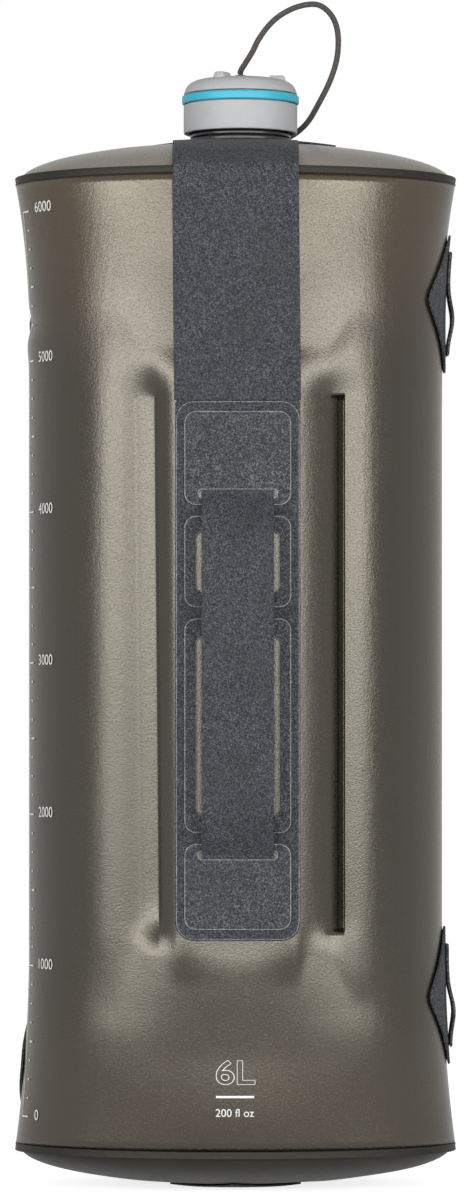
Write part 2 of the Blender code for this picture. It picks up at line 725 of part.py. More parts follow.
def patch_edge(x):
    return NECK_PATCH_HALF_DEPTH * (1 - (x / NECK_PATCH_HALF_WIDTH) ** 2)


def collar():
    """The loose ring round the neck that holds the lower end of the tether."""
    inner = NECK_RADIUS + GAP
    outer = inner + COLLAR_WIDTH
    high = COLLAR_SEAT_Z + COLLAR_HEIGHT
    profile = [(outer, high), (outer, COLLAR_SEAT_Z), (inner, COLLAR_SEAT_Z), (inner, high)]
    obj = turned("tether_collar", profile, "neck", 0.4, NECK_X)
    ear_start = inner + COLLAR_WIDTH / 2
    ear_end = COLLAR_EAR_RADIUS + TETHER_RADIUS * 2
    ear = rounded_corners(rectangle(ear_end - ear_start, COLLAR_EAR_WIDTH), COLLAR_EAR_WIDTH / 3)
    tab = as_mesh(plate("collar_ear", [ear], COLLAR_HEIGHT - GAP, "neck"))
    reach = (ear_start + ear_end) / 2
    tab.location = (
        NECK_X + reach * math.cos(COLLAR_EAR_ANGLE),
        reach * math.sin(COLLAR_EAR_ANGLE),
        COLLAR_SEAT_Z + COLLAR_HEIGHT / 2,
    )
    tab.rotation_euler.z = COLLAR_EAR_ANGLE
    join_into(obj, tab)


def cap():
    seat = CAP_RADIUS + CAP_RING_PROUD - CAP_RING_WIDTH - GAP
    profile = [
        (0.0, DECK_TOP_Z),
        (seat, DECK_TOP_Z),
        (seat, SKIRT_TOP_Z),
        (CAP_RADIUS, SKIRT_TOP_Z),
        (CAP_RADIUS, CAP_BASE_Z),
        (CAP_BORE_RADIUS, CAP_BASE_Z),
        (CAP_BORE_RADIUS, DECK_Z),
        (0.0, DECK_Z),
    ]
    skirt = turned("cap_skirt", profile, "cap", 0.42, NECK_X)
    top_z = NECK_TOP_Z - THREAD_TOP_MARGIN
    join_into(skirt, thread("cap_thread", CAP_BORE_RADIUS, top_z, CAP_TURNS_SHARE, THREAD_LEAD / 2))

    inner, outer = seat + GAP, CAP_RADIUS + CAP_RING_PROUD
    low, high = SKIRT_TOP_Z + GAP, SKIRT_TOP_Z + CAP_RING_HEIGHT
    shoulder = (outer - inner) / 3
    profile = [
        (inner, high),
        (outer - shoulder, high),
        (outer, high - shoulder),
        (outer, low + shoulder),
        (outer - shoulder, low),
        (inner, low),
    ]
    turned("cap_ring", profile, "ring", 0.3, NECK_X)

    outer = CAP_BORE_RADIUS - GAP
    profile = [
        (outer, GASKET_Z + GASKET),
        (outer, GASKET_Z),
        (outer - GASKET_WIDTH, GASKET_Z),
        (outer - GASKET_WIDTH, GASKET_Z + GASKET),
    ]
    turned("cap_gasket", profile, "silicone", 0.5, NECK_X)


def cap_dome():
    """The grip on top of the cap, a hollow dome with three lugs and a hole for the swivel."""
    hole = SWIVEL_POST_RADIUS + GAP
    crown = [(DOME_RADIUS * r, DOME_BASE_Z + DOME_HEIGHT * h) for r, h in DOME_CROWN_SHARES]
    inside = [(r - DOME_WALL, max(DOME_BASE_Z, z - DOME_WALL)) for r, z in crown[:-2]]
    profile = [(hole, DOME_TOP_Z), *crown, (DOME_RADIUS - DOME_WALL, DOME_BASE_Z)]
    profile += [*reversed(inside), (hole, DOME_TOP_Z - DOME_WALL)]
    dome = turned("cap_dome", profile, "cap", 0.42, NECK_X)
    for i in range(LUG_COUNT):
        angle = 2 * math.pi * i / LUG_COUNT
        mesh = bpy.data.meshes.new(f"lug_{i}")
        lug = bmesh.new()
        half_diagonal = math.sqrt(0.5)
        bmesh.ops.create_cone(
            lug,
            cap_ends=True,
            segments=4,
            radius1=half_diagonal,
            radius2=half_diagonal * LUG_TAPER_SHARE,
            depth=LUG_HEIGHT,
        )
        bmesh.ops.rotate(lug, matrix=Matrix.Rotation(math.pi / 4, 3, "Z"), verts=lug.verts)
        bmesh.ops.scale(lug, vec=(LUG_LENGTH, LUG_WIDTH, 1.0), verts=lug.verts)
        top = [edge for edge in lug.edges if all(v.co.z > 0 for v in edge.verts)]
        bmesh.ops.bevel(lug, geom=top, offset=LUG_EDGE, segments=2, profile=0.5, affect="EDGES", material=-1)
        lug_z = DOME_TOP_Z + LUG_PROUD - LUG_HEIGHT / 2
        bmesh.ops.translate(lug, vec=(LUG_RADIUS, 0, lug_z), verts=lug.verts)
        lug.to_mesh(mesh)
        lug.free()
        obj = bpy.data.objects.new(f"lug_{i}", mesh)
        obj.location.x = NECK_X
        obj.rotation_euler.z = angle
        PARTS.objects.link(obj)
        join_into(dome, obj)


def tether():
    button_z = DOME_TOP_Z + GAP
    foot_z = DOME_BASE_Z + GAP
    profile = [
        (0.0, button_z + SWIVEL_BUTTON),
        (SWIVEL_BUTTON_RADIUS - SWIVEL_EDGE, button_z + SWIVEL_BUTTON),
        (SWIVEL_BUTTON_RADIUS, button_z + SWIVEL_BUTTON / 2),
        (SWIVEL_BUTTON_RADIUS, button_z),
        (SWIVEL_POST_RADIUS, button_z),
        (SWIVEL_POST_RADIUS, foot_z + SWIVEL_FOOT),
        (SWIVEL_FOOT_RADIUS, foot_z + SWIVEL_FOOT),
        (SWIVEL_FOOT_RADIUS, foot_z),
        (0.0, foot_z),
    ]
    turned("tether_swivel", profile, "neck", 0.4, NECK_X, steps=20)
    tube("tether_cord", smooth_route(TETHER_ROUTE, TETHER_STEPS), TETHER_RADIUS, "tether")


# Strap, handle and grab band


def carry_strap():
    """The fabric strap from the handle up the front wall, over the rim and on to the neck patch."""
    low_z = HANDLE_HIGH_Z + GAP
    out = SKIN_GAP + FABRIC
    columns = [STRAP_HALF_WIDTH * share for share in STRAP_COLUMN_SHARES]
    rows = []
    for share in STRAP_WALL_SHARES:
        z = between(low_z, BAG_TOP_Z, share)
        rows.append([(x, -depth_at(x, z) - out, z) for x in columns])
    rim_low, rim_high = BAG_TOP_Z - SKIN_GAP, BAG_TOP_Z + RIM_HEIGHT
    for z, inward, up in ((rim_low, 0.0, 0.0), (rim_high, 0.0, 0.0), (rim_high, out, out)):
        rows.append([(x, -depth_at(x, BAG_TOP_Z) - RIM_PROUD - out + inward, z + up) for x in columns])
    for share in STRAP_DOME_SHARES:
        row = []
        for x in columns:
            y = -share * PANEL_HALF_DEPTH * math.sqrt(1 - (x / PANEL_HALF_WIDTH) ** 2)
            row.append((x, y, max(top_z(x, y), rim_high) + out))
        rows.append(row)
    last = rows[-1]
    for share in (0.5, 1.0):
        row = []
        for x, (_, before, _) in zip(columns, last):
            y = between(before, -patch_edge(x - NECK_PATCH_X) - 2 * GAP, share)
            row.append((x, y, top_z(x, y) + out))
        rows.append(row)
    skin("carry_strap", rows, FABRIC, "fabric", 0.8)


def slot(z):
    return rounded_corners(rectangle(SLOT_LENGTH, SLOT_HEIGHT, 0.0, z), SLOT_HEIGHT / 3)


def window(length, z):
    return rounded_corners(rectangle(WINDOW_WIDTH, length, 0.0, z), WINDOW_CORNER_RADIUS)


def pad_outline(length, z):
    return rounded_corners(rectangle(PAD_WIDTH, length, 0.0, z), PAD_CORNER_RADIUS)


def handle():
    middle = HANDLE_LOW_Z + HANDLE_LENGTH / 2
    outline = rounded_corners(rectangle(HANDLE_WIDTH, HANDLE_LENGTH, 0.0, middle), HANDLE_CORNER_RADIUS)
    pads = (
        ("upper_anchor_pad", UPPER_PAD_LENGTH, UPPER_PAD_Z, slot(UPPER_SLOT_Z)),
        ("short_grip_frame", SHORT_FRAME_LENGTH, SHORT_FRAME_Z, window(SHORT_WINDOW_LENGTH, SHORT_FRAME_Z)),
        ("long_grip_frame", LONG_FRAME_LENGTH, LONG_FRAME_Z, window(LONG_WINDOW_LENGTH, LONG_FRAME_Z)),
        ("lower_anchor_pad", LOWER_PAD_LENGTH, LOWER_PAD_Z, slot(LOWER_SLOT_Z)),
    )
    holes = [hole for _, _, _, hole in pads]
    front_plate("handle_base", [outline, *holes], HANDLE_BACK_Y, HANDLE_THICKNESS)
    for name, length, z, hole in pads:
        front_plate(name, [pad_outline(length, z), hole], PAD_BACK_Y, PAD_THICKNESS, PAD_EDGE, 0.55)


def band_out(z):
    """How far the band's back stands out from the handle base at this height."""
    length = UPPER_SLOT_Z - LOWER_SLOT_Z
    from_end = min(z - LOWER_SLOT_Z, UPPER_SLOT_Z - z)
    rise = 1 - (1 - min(1.0, max(0.0, from_end / BAND_RAMP))) ** BAND_RISE_POWER
    crown = math.sin(math.pi * min(1.0, max(0.0, (z - LOWER_SLOT_Z) / length)))
    return GAP + BAND_BOW * rise * (1 - BAND_CROWN_SHARE + BAND_CROWN_SHARE * crown)


def band_strip(name, heights):
    rows = []
    face = HANDLE_BACK_Y - HANDLE_THICKNESS
    for z in heights:
        y = face - band_out(z) - BAND_THICKNESS
        rows.append([(HANDLE_X + x, y, z) for x in (-BAND_HALF_WIDTH, 0, BAND_HALF_WIDTH)])
    obj = skin(name, rows, BAND_THICKNESS, "fabric", 0.75)
    obj.modifiers["thickness"].use_even_offset = False


def grab_band():
    """The band that a hand goes behind, in three lengths: the middle moves, the ends bend."""
    low, high = LOWER_SLOT_Z + BAND_RAMP, UPPER_SLOT_Z - BAND_RAMP
    half = BAND_JOIN_GAP / 2
    band_strip("grab_band", [between(low + half, high - half, share) for share in BAND_MIDDLE_SHARES])
    band_strip(
        "band_lower_end", [between(LOWER_SLOT_Z, low - half, share) for share in BAND_RAMP_SHARES]
    )
    band_strip(
        "band_upper_end", [between(high + half, UPPER_SLOT_Z, share) for share in BAND_RAMP_SHARES]
    )


def main():
    wall("front_wall", -1)
    wall("back_wall", 1)
    web("left_web", -1)
    web("right_web", 1)
    rim("top_weld_rim", BAG_TOP_Z)
    rim("bottom_weld_rim", BAG_BASE_Z - RIM_HEIGHT)
    end_panels()
    side_tab("right_upper", 1, RIGHT_UPPER_TAB_Z, RIGHT_TAB_FORWARD)
    side_tab("right_lower", 1, RIGHT_LOWER_TAB_Z, RIGHT_TAB_FORWARD)
    side_tab("left_upper", -1, LEFT_UPPER_TAB_Z, LEFT_UPPER_TAB_FORWARD)
    side_tab("left_lower", -1, LEFT_LOWER_TAB_Z, LEFT_LOWER_TAB_FORWARD)
    bottom_tab()
    neck()
    neck_patch()
    collar()
    cap()
    cap_dome()
    tether()
    carry_strap()
    handle()
    grab_band()


main()
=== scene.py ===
"""The looks of a collapsible water carrier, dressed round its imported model."""

import math

import bmesh
import bpy
from mathutils import Matrix, Vector, noise


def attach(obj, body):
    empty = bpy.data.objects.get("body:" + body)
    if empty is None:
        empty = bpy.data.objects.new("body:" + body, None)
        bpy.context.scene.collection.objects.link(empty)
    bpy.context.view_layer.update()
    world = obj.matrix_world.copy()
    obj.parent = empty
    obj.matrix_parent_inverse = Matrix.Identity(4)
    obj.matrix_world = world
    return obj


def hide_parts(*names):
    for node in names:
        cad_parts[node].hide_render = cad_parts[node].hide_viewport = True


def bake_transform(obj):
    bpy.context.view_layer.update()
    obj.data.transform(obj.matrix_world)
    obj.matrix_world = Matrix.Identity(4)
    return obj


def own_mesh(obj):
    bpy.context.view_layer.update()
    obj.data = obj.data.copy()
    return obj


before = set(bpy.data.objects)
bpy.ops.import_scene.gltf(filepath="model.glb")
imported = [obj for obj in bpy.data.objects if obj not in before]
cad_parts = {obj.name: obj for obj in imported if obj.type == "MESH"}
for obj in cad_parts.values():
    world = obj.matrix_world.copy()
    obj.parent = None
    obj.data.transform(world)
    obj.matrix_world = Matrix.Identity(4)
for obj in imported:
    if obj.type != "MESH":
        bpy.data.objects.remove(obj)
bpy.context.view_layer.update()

# Bag, in metres, with the carrier standing on z 0 and its front towards -Y
BAG_BASE_Z = 0.0178
BAG_TOP_Z = 0.4013
MIDDLE_HALF_WIDTH = 0.083
MIDDLE_HALF_DEPTH = 0.062
END_HALF_WIDTH = 0.0882
END_HALF_DEPTH = 0.056
BASE_FLARE = 0.078
TOP_FLARE = 0.057
CREASE_LOW_Z = 0.0981
CREASE_HIGH_Z = 0.3139
STRIP_LOW_Z = 0.1035
CREASE_X = 0.039
LOBE_X = 0.0336
LOBE_RADIUS = 0.0494
GROUND_HALF_DEPTH = 0.060
BACK_HALF_DEPTH = 0.0615
FILM = 0.0007
FABRIC = 0.0009
SKIN_GAP = 0.0005
GAP = 0.0003
RIM_HEIGHT = 0.0034
TOP_FLAT_Z = 0.4168
TOP_EDGE_Z = 0.4030
BASE_EDGE_Z = 0.0161
BASE_FLAT_Z = 0.0012
PANEL_HALF_WIDTH = 0.0866
PANEL_HALF_DEPTH = 0.0544
FLATTENED = 0.44
LEFT_GROUND_X = -0.0195
LEFT_FOLD_HIGH_X = -0.0343
LEFT_FOLD_LOW_X = -0.0319
RIGHT_GROUND_X = 0.0205
RIGHT_FOLD_X = 0.0398
RIGHT_STRIP_X = 0.0429
FLAT_HALF_DEPTH = 0.0565
BACK_FOLD_DEPTH = 0.0491
WEB_X = 0.0385
WEB_HALF_DEPTH = 0.0460

# Neck, cap and handle
NECK_X = 0.002
NECK_RADIUS = 0.0192
NECK_TOP_Z = 0.4347
COLLAR_Z = 0.4183
CAP_BASE_Z = 0.4224
DOME_Z = 0.4382
THREAD_LEAD = 0.008
THREAD_STEPS = 96
HANDLE_X = 0.0009
HANDLE_LOW_Z = 0.1003
HANDLE_HIGH_Z = 0.3117
HANDLE_FACE_Y = -0.0614
PAD_FACE_Y = -0.0626
LOWER_SLOT_Z = 0.1338
UPPER_SLOT_Z = 0.2751
BAND_HALF_WIDTH = 0.0141
BAND_THICKNESS = 0.0015
STRAP_HALF_WIDTH = 0.0249
PATCH_X = 0.0034
PATCH_HALF_WIDTH = 0.037
PATCH_HALF_DEPTH = 0.024
TAB_HALF = 0.0275
LOOP_HALF_WIDTH = 0.0075
LOOP_HALF_HEIGHT = 0.0205

TETHER_ROUTE = (
    (0.0020, 0.0000, 0.4466), (0.0022, 0.0001, 0.4481), (0.0041, 0.0002, 0.4512), (0.0068, 0.0003, 0.4556),
    (0.0093, 0.0005, 0.4606), (0.0132, 0.0007, 0.4660), (0.0178, 0.0009, 0.4702), (0.0240, 0.0012, 0.4735),
    (0.0303, 0.0016, 0.4749), (0.0347, 0.0021, 0.4741), (0.0386, 0.0028, 0.4706), (0.0408, 0.0035, 0.4656),
    (0.0414, 0.0043, 0.4591), (0.0405, 0.0054, 0.4518), (0.0378, 0.0070, 0.4440), (0.0339, 0.0092, 0.4364),
    (0.0294, 0.0122, 0.4290), (0.0245, 0.0155, 0.4246), (0.0199, 0.0179, 0.4222), (0.0191, 0.0183, 0.4204),
)
TETHER_RADIUS = 0.00115

# The photograph's frame, for what is placed by it
EYE_Z, EYE_ROW, EYE_COLUMN = 0.177, 745, 235.5
FRONT_PIXEL = 0.0003917
SIDE_PIXEL = 0.000397
PRINT_OUT = 0.00025


def between(low, high, share):
    return low + (high - low) * share


def clamp(value):
    return min(1.0, max(0.0, value))


def eased(share):
    share = clamp(share)
    return share * share * (3 - 2 * share)


def bump(value, middle, reach):
    """1 at the middle, fading to 0 on both sides."""
    return math.exp(-(((value - middle) / reach) ** 2))


def add_object(name, data):
    made = bpy.data.objects.new(name, data)
    bpy.context.collection.objects.link(made)
    return made


# Camera


def place_camera():
    distance, frame_height, pixels, film_height = 2.2, 0.4824, 1200, 36.0
    lens = bpy.data.cameras.new("camera")
    lens.sensor_fit, lens.sensor_height = "VERTICAL", film_height
    lens.lens = film_height * distance / frame_height
    lens.shift_x, lens.shift_y = 2.0 / pixels, 145.0 / pixels
    lens.clip_end = 50.0
    camera = add_object("camera", lens)
    camera.location = (0.0, -distance, 0.1769)
    camera.rotation_euler = (math.pi / 2, 0.0, 0.0)
    bpy.context.scene.camera = camera


place_camera()

# Materials


def add_node(tree, kind, values=(), **settings):
    """A node with its settings, its sockets linked or set by name or number."""
    node = tree.nodes.new(kind)
    for key, value in settings.items():
        setattr(node, key, value)
    for socket, value in dict(values).items():
        if isinstance(value, bpy.types.NodeSocket):
            tree.links.new(value, node.inputs[socket])
        else:
            node.inputs[socket].default_value = value
    return node


def link_all(tree, sockets, values):
    for label, value in values.items():
        tree.links.new(value, sockets[label])


def math_node(tree, operation, *values):
    return add_node(tree, "ShaderNodeMath", enumerate(values), operation=operation).outputs[0]


def scaled(tree, vector, factors):
    """The coordinates with each axis scaled on its own."""
    return add_node(tree, "ShaderNodeMapping", {"Vector": vector, "Scale": factors}).outputs[0]


def noise_node(tree, vector, scale, detail=2.0, roughness=0.6):
    values = {"Vector": vector, "Scale": scale, "Detail": detail, "Roughness": roughness}
    return add_node(tree, "ShaderNodeTexNoise", values).outputs[0]


def diagonal_wave(tree, values):
    return add_node(tree, "ShaderNodeTexWave", values, bands_direction="DIAGONAL").outputs[1]


def ramp(tree, value, low, high, start=0.0, end=1.0):
    values = {"Value": value, "From Min": low, "From Max": high, "To Min": start, "To Max": end}
    return add_node(tree, "ShaderNodeMapRange", values).outputs[0]


def mix_colour(tree, share, first, second):
    """Mixes two colours, each of them a socket or a plain (red, green, blue)."""
    first, second = ((*value, 1.0) if isinstance(value, tuple) else value for value in (first, second))
    return add_node(tree, "ShaderNodeMix", {0: share, 6: first, 7: second}, data_type="RGBA").outputs[2]


def object_place(tree):
    return add_node(tree, "ShaderNodeTexCoord").outputs["Object"]


def start_group(name, inputs, outputs):
    """A group with its sockets: its tree, what it is given, what it makes, and its sized coordinates."""
    group = bpy.data.node_groups.new(name, "ShaderNodeTree")
    for label, value in inputs.items():
        socket = group.interface.new_socket(label, in_out="INPUT", socket_type="NodeSocketFloat")
        socket.default_value = value
    for label in outputs:
        group.interface.new_socket(label, in_out="OUTPUT", socket_type="NodeSocketFloat")
    given, made = group.nodes.new("NodeGroupInput").outputs, group.nodes.new("NodeGroupOutput").inputs
    values = {0: object_place(group), "Scale": given["Size"]}
    return group, given, made, add_node(group, "ShaderNodeVectorMath", values, operation="SCALE").outputs[0]


def make_heather():
    """Fine melange of a knitted face: pale flecks, dark flecks and a fine diagonal rib."""
    group, given, made, spot = start_group(
        "heather", {"Size": 1.0, "Flecks": 0.5}, ("Pale", "Dark", "Height", "Rough")
    )
    stitch = add_node(group, "ShaderNodeTexVoronoi", {"Vector": spot, "Scale": 2300.0}).outputs["Color"]
    stitch = add_node(group, "ShaderNodeSeparateColor", {0: stitch}).outputs
    soft = noise_node(group, spot, 1300.0)
    flecks = math_node(group, "MULTIPLY_ADD", stitch[0], 0.5, math_node(group, "MULTIPLY", soft, 0.5))
    dark = math_node(group, "MULTIPLY_ADD", stitch[1], 0.6, math_node(group, "MULTIPLY", soft, 0.4))
    cloud = noise_node(group, spot, 60.0, 3.0)
    rib = diagonal_wave(
        group, {"Vector": spot, "Scale": 220.0, "Distortion": 3.0, "Detail": 1.0, "Detail Scale": 3.0}
    )
    pale = math_node(group, "MULTIPLY", ramp(group, flecks, 0.50, 0.78), given["Flecks"])
    values = {
        "Pale": math_node(group, "MULTIPLY", pale, ramp(group, cloud, 0.3, 0.7, 0.55, 1.25)),
        "Dark": ramp(group, dark, 0.40, 0.66),
        "Height": math_node(group, "MULTIPLY_ADD", rib, 0.5, flecks),
        "Rough": ramp(group, cloud, 0.3, 0.7, 0.56, 0.72),
    }
    link_all(group, made, values)
    return group


def make_frost():
    """The fine frosted grain of welded film, with slow clouds in its tint and gloss."""
    group, _, made, spot = start_group("frost", {"Size": 1.0}, ("Grain", "Cloud", "Height", "Rough"))
    grain = noise_node(group, spot, 1500.0)
    streak = noise_node(group, scaled(group, spot, (1.0, 1.0, 0.22)), 420.0, roughness=0.5)
    cloud = noise_node(group, scaled(group, spot, (1.0, 1.0, 0.5)), 22.0, 3.0, 0.55)
    slow, fine = ramp(group, cloud, 0.3, 0.7, -0.025, 0.03), ramp(group, grain, 0.32, 0.68, -0.085, 0.075)
    values = {
        "Grain": grain,
        "Cloud": ramp(group, cloud, 0.3, 0.7),
        "Height": math_node(group, "MULTIPLY_ADD", streak, 0.7, grain),
        "Rough": math_node(group, "ADD", slow, fine),
    }
    link_all(group, made, values)
    return group


def make_moulded():
    """The spark-eroded grain of moulded plastic, with light handling marks."""
    group, _, made, spot = start_group("moulded_grain", {"Size": 1.0}, ("Tone", "Height", "Rough"))
    pits = add_node(group, "ShaderNodeTexVoronoi", {"Vector": spot, "Scale": 1900.0}).outputs[0]
    wave = noise_node(group, spot, 130.0, 4.0)
    scuff = noise_node(group, scaled(group, spot, (1.0, 1.0, 0.12)), 700.0, 3.0, 0.7)
    slow, marks = ramp(group, wave, 0.3, 0.7, -0.04, 0.04), ramp(group, scuff, 0.6, 0.8, 0.0, 0.1)
    values = {
        "Tone": ramp(group, wave, 0.3, 0.7),
        "Height": math_node(group, "MULTIPLY_ADD", wave, 0.4, pits),
        "Rough": math_node(group, "ADD", slow, marks),
    }
    link_all(group, made, values)
    return group


FILM_SHEEN = (1.0, 0.942, 0.79, 1)
HEATHER = make_heather()
FROST = make_frost()
MOULDED = make_moulded()


def new_material(name, **sockets):
    """A material, its tree, and its shader's inputs with their plain values set."""
    made = bpy.data.materials.new(name)
    made.use_nodes = True
    inputs = made.node_tree.nodes["Principled BSDF"].inputs
    for socket, value in sockets.items():
        inputs[socket.replace("_", " ")].default_value = value
    return made, made.node_tree, inputs


def add_group(tree, group, **values):
    return add_node(tree, "ShaderNodeGroup", values, node_tree=group).outputs


def finish_surface(tree, inputs, colour, rough, height, strength, distance):
    """Gives the shader its colour, roughness and bump."""
    bumps = add_node(tree, "ShaderNodeBump", {"Height": height, "Strength": strength, "Distance": distance})
    link_all(tree, inputs, {"Base Color": colour, "Roughness": rough, "Normal": bumps.outputs[0]})


def fabric_material(name, base, fleck, shade, size=1.0, flecks=0.8, strength=0.5):
    made, tree, inputs = new_material(
        name, IOR=1.45, Specular_IOR_Level=0.2, Sheen_Weight=0.03, Sheen_Roughness=0.5
    )
    heather = add_group(tree, HEATHER, Size=size, Flecks=flecks)
    colour = mix_colour(tree, heather["Dark"], base, shade)
    colour = mix_colour(tree, heather["Pale"], colour, fleck)
    finish_surface(tree, inputs, colour, heather["Rough"], heather["Height"], strength, 0.00025)
    return made


def film_material(name, body, haze, roughness, ior, strength, coat=0.0, weld=None, painted_backlight=None):
    """Frosted film. Its top and base are made lighter and warmer, as painted light coming through the film,
    and its welded strips darker, as painted shade.
    """
    coats = {"Coat_Weight": coat, "Coat_Roughness": 0.28, "Coat_IOR": 1.5} if coat else {}
    made, tree, inputs = new_material(name, IOR=ior, Specular_Tint=FILM_SHEEN, **coats)
    frost = add_group(tree, FROST, Size=1.0)
    colour = mix_colour(tree, frost["Cloud"], body, haze)
    grain = ramp(tree, frost["Grain"], 0.3, 0.7, 0.0, 0.35)
    colour = mix_colour(tree, grain, colour, tuple(channel * 1.6 for channel in body))
    # Painted light: lighter and warmer towards the top and the base, as light coming through the film from
    # behind.
    if painted_backlight:
        height = add_node(tree, "ShaderNodeSeparateXYZ", {0: object_place(tree)}).outputs["Z"]
        top, foot = ramp(tree, height, 0.32, 0.41), ramp(tree, height, 0.09, 0.04, 0.0, 0.25)
        colour = mix_colour(tree, math_node(tree, "MAXIMUM", top, foot), colour, painted_backlight)
    # Painted shade: darker along the strips marked weld.
    if weld:
        strip_shade = add_node(tree, "ShaderNodeAttribute", attribute_name="weld").outputs["Fac"]
        colour = mix_colour(tree, strip_shade, colour, weld)
    rough = math_node(tree, "ADD", frost["Rough"], roughness)
    finish_surface(tree, inputs, colour, rough, frost["Height"], strength, 0.0004)
    return made


def plastic_material(name, first, second, roughness, strength, ior):
    made, tree, inputs = new_material(name, IOR=ior)
    grain = add_group(tree, MOULDED, Size=1.0)
    colour = mix_colour(tree, grain["Tone"], first, second)
    rough = math_node(tree, "ADD", grain["Rough"], roughness)
    finish_surface(tree, inputs, colour, rough, grain["Height"], strength, 0.00008)
    return made


def cord_material():
    """A braided sleeve: strands that cross each other round the cord, with pale flecks."""
    made, tree, inputs = new_material("braided_cord", IOR=1.45)
    strands = add_node(tree, "ShaderNodeUVMap", uv_map="weave").outputs[0]
    waves = []
    for lean in (110.0, -110.0):
        leaning = scaled(tree, strands, (6.0, lean, 1.0))
        waves.append(diagonal_wave(tree, {"Vector": leaning, "Scale": 1.0}))
    braid = math_node(tree, "MAXIMUM", *waves)
    fleck = ramp(tree, noise_node(tree, object_place(tree), 2200.0), 0.56, 0.76, 0.0, 0.6)
    # Painted light and shade: lighter on the strands' crests and darker where they dip between each other.
    colour = mix_colour(tree, ramp(tree, braid, 0.2, 1.0), (0.021, 0.020, 0.018), (0.096, 0.086, 0.076))
    colour = mix_colour(tree, fleck, colour, (0.35, 0.33, 0.30))
    finish_surface(tree, inputs, colour, ramp(tree, braid, 0.0, 1.0, 0.75, 0.5), braid, 0.8, 0.0002)
    return made


def print_material():
    made, tree, inputs = new_material("white_print", IOR=1.45)
    grain = noise_node(tree, object_place(tree), 2600.0)
    colour = mix_colour(tree, ramp(tree, grain, 0.35, 0.7), (0.92, 0.92, 0.90), (0.84, 0.84, 0.82))
    link_all(tree, inputs, {"Base Color": colour, "Roughness": ramp(tree, grain, 0.3, 0.7, 0.45, 0.6)})
    return made


# The film's warm colour at its top and base is painted light coming through it.
FILM_MATERIAL = film_material(
    "smoky_film", (0.006, 0.0045, 0.003), (0.012, 0.009, 0.006), 0.225, 1.80, 0.22,
    # The weld colour is painted shade on the welded strips.
    weld=(0.005, 0.005, 0.005), painted_backlight=(0.050, 0.031, 0.016),
)
PANEL_MATERIAL = film_material(
    "end_panel_film", (0.174, 0.159, 0.136), (0.228, 0.209, 0.181), 0.34, 1.5, 0.25, 0.3
)
WELD_MATERIAL = film_material(
    "weld_band_film", (0.0115, 0.0108, 0.0101), (0.0187, 0.0173, 0.0158), 0.50, 1.38, 0.3
)
BASE_MATERIAL = film_material(
    "base_panel_film", (0.0166, 0.0162, 0.0151), (0.0291, 0.0281, 0.0260), 0.45, 1.38, 0.3
)
STRAP_FABRIC = fabric_material(
    "strap_heather", (0.0468, 0.0498, 0.0569), (0.147, 0.154, 0.170), (0.0184, 0.0193, 0.0226)
)
PAD_FABRIC = fabric_material(
    "pad_heather", (0.0498, 0.0525, 0.0591), (0.175, 0.182, 0.195), (0.0202, 0.0214, 0.0241), 1.0, 0.95, 0.6
)
# Painted highlight: a pale colour for the bevelled front edges of the handle's face and pads, where light
# catches them.
EDGE_HIGHLIGHT = fabric_material(
    "painted_edge_highlight", (0.326, 0.335, 0.352), (0.686, 0.702, 0.719), (0.147, 0.151, 0.160), 1.2, 1.0, 0.4
)
LASH_FABRIC = fabric_material(
    "lash_webbing", (0.0546, 0.0565, 0.0637), (0.209, 0.216, 0.232), (0.0255, 0.0255, 0.0291), 0.9, 0.8, 0.9
)
CAP_PLASTIC = plastic_material("cap_grey", (0.445, 0.451, 0.462), (0.480, 0.486, 0.497), 0.52, 0.12, 1.45)
RING_PLASTIC = plastic_material("ring_cyan", (0.0324, 0.454, 0.605), (0.0411, 0.486, 0.649), 0.42, 0.08, 1.5)
NECK_PLASTIC = plastic_material(
    "neck_black", (0.0151, 0.0151, 0.0166), (0.0242, 0.0242, 0.0257), 0.26, 0.1, 1.5
)
SILICONE = plastic_material("gasket_silicone", (0.715, 0.728, 0.741), (0.780, 0.793, 0.806), 0.5, 0.1, 1.42)
CORD_MATERIAL = cord_material()
PRINT_WHITE = print_material()

# Modelling helpers


def make_piece(name, body, *materials):
    """A mesh object from the finished bmesh, linked to the scene with its materials."""
    mesh = bpy.data.meshes.new(name)
    body.to_mesh(mesh)
    body.free()
    mesh.shade_smooth()
    for material in materials:
        mesh.materials.append(material)
    return add_object(name, mesh)


def settled_mesh(piece):
    """The piece's mesh with its modifiers applied."""
    bpy.context.view_layer.update()
    graph = bpy.context.evaluated_depsgraph_get()
    shown = piece.evaluated_get(graph)
    return bpy.data.meshes.new_from_object(shown, preserve_all_data_layers=True, depsgraph=graph)


def thicken(piece, thickness, edge=0.0, even=False):
    """Gives a sheet its thickness inwards, rounds its edges, and makes both part of its mesh."""
    solid = piece.modifiers.new("thickness", "SOLIDIFY")
    solid.thickness, solid.offset, solid.use_even_offset = thickness, -1.0, even
    if edge:
        bevel = piece.modifiers.new("edges", "BEVEL")
        bevel.width, bevel.segments = edge, 2
        bevel.limit_method, bevel.angle_limit = "ANGLE", math.radians(40)
        bevel.harden_normals = False
    mesh = settled_mesh(piece)
    piece.modifiers.clear()
    piece.data = mesh


def shift(body, x=0.0, y=0.0, z=0.0, verts=None):
    bmesh.ops.translate(body, vec=(x, y, z), verts=verts or body.verts)


def rotate(body, degrees, axis="Z"):
    bmesh.ops.rotate(body, matrix=Matrix.Rotation(math.radians(degrees), 3, axis), verts=body.verts)


def round_off(body, geom, width, segments, affect="EDGES"):
    made = bmesh.ops.bevel(
        body, geom=geom, offset=width, segments=segments, profile=0.5, affect=affect, material=-1
    )
    return made["faces"]


def face_out(body):
    bmesh.ops.recalc_face_normals(body, faces=body.faces)


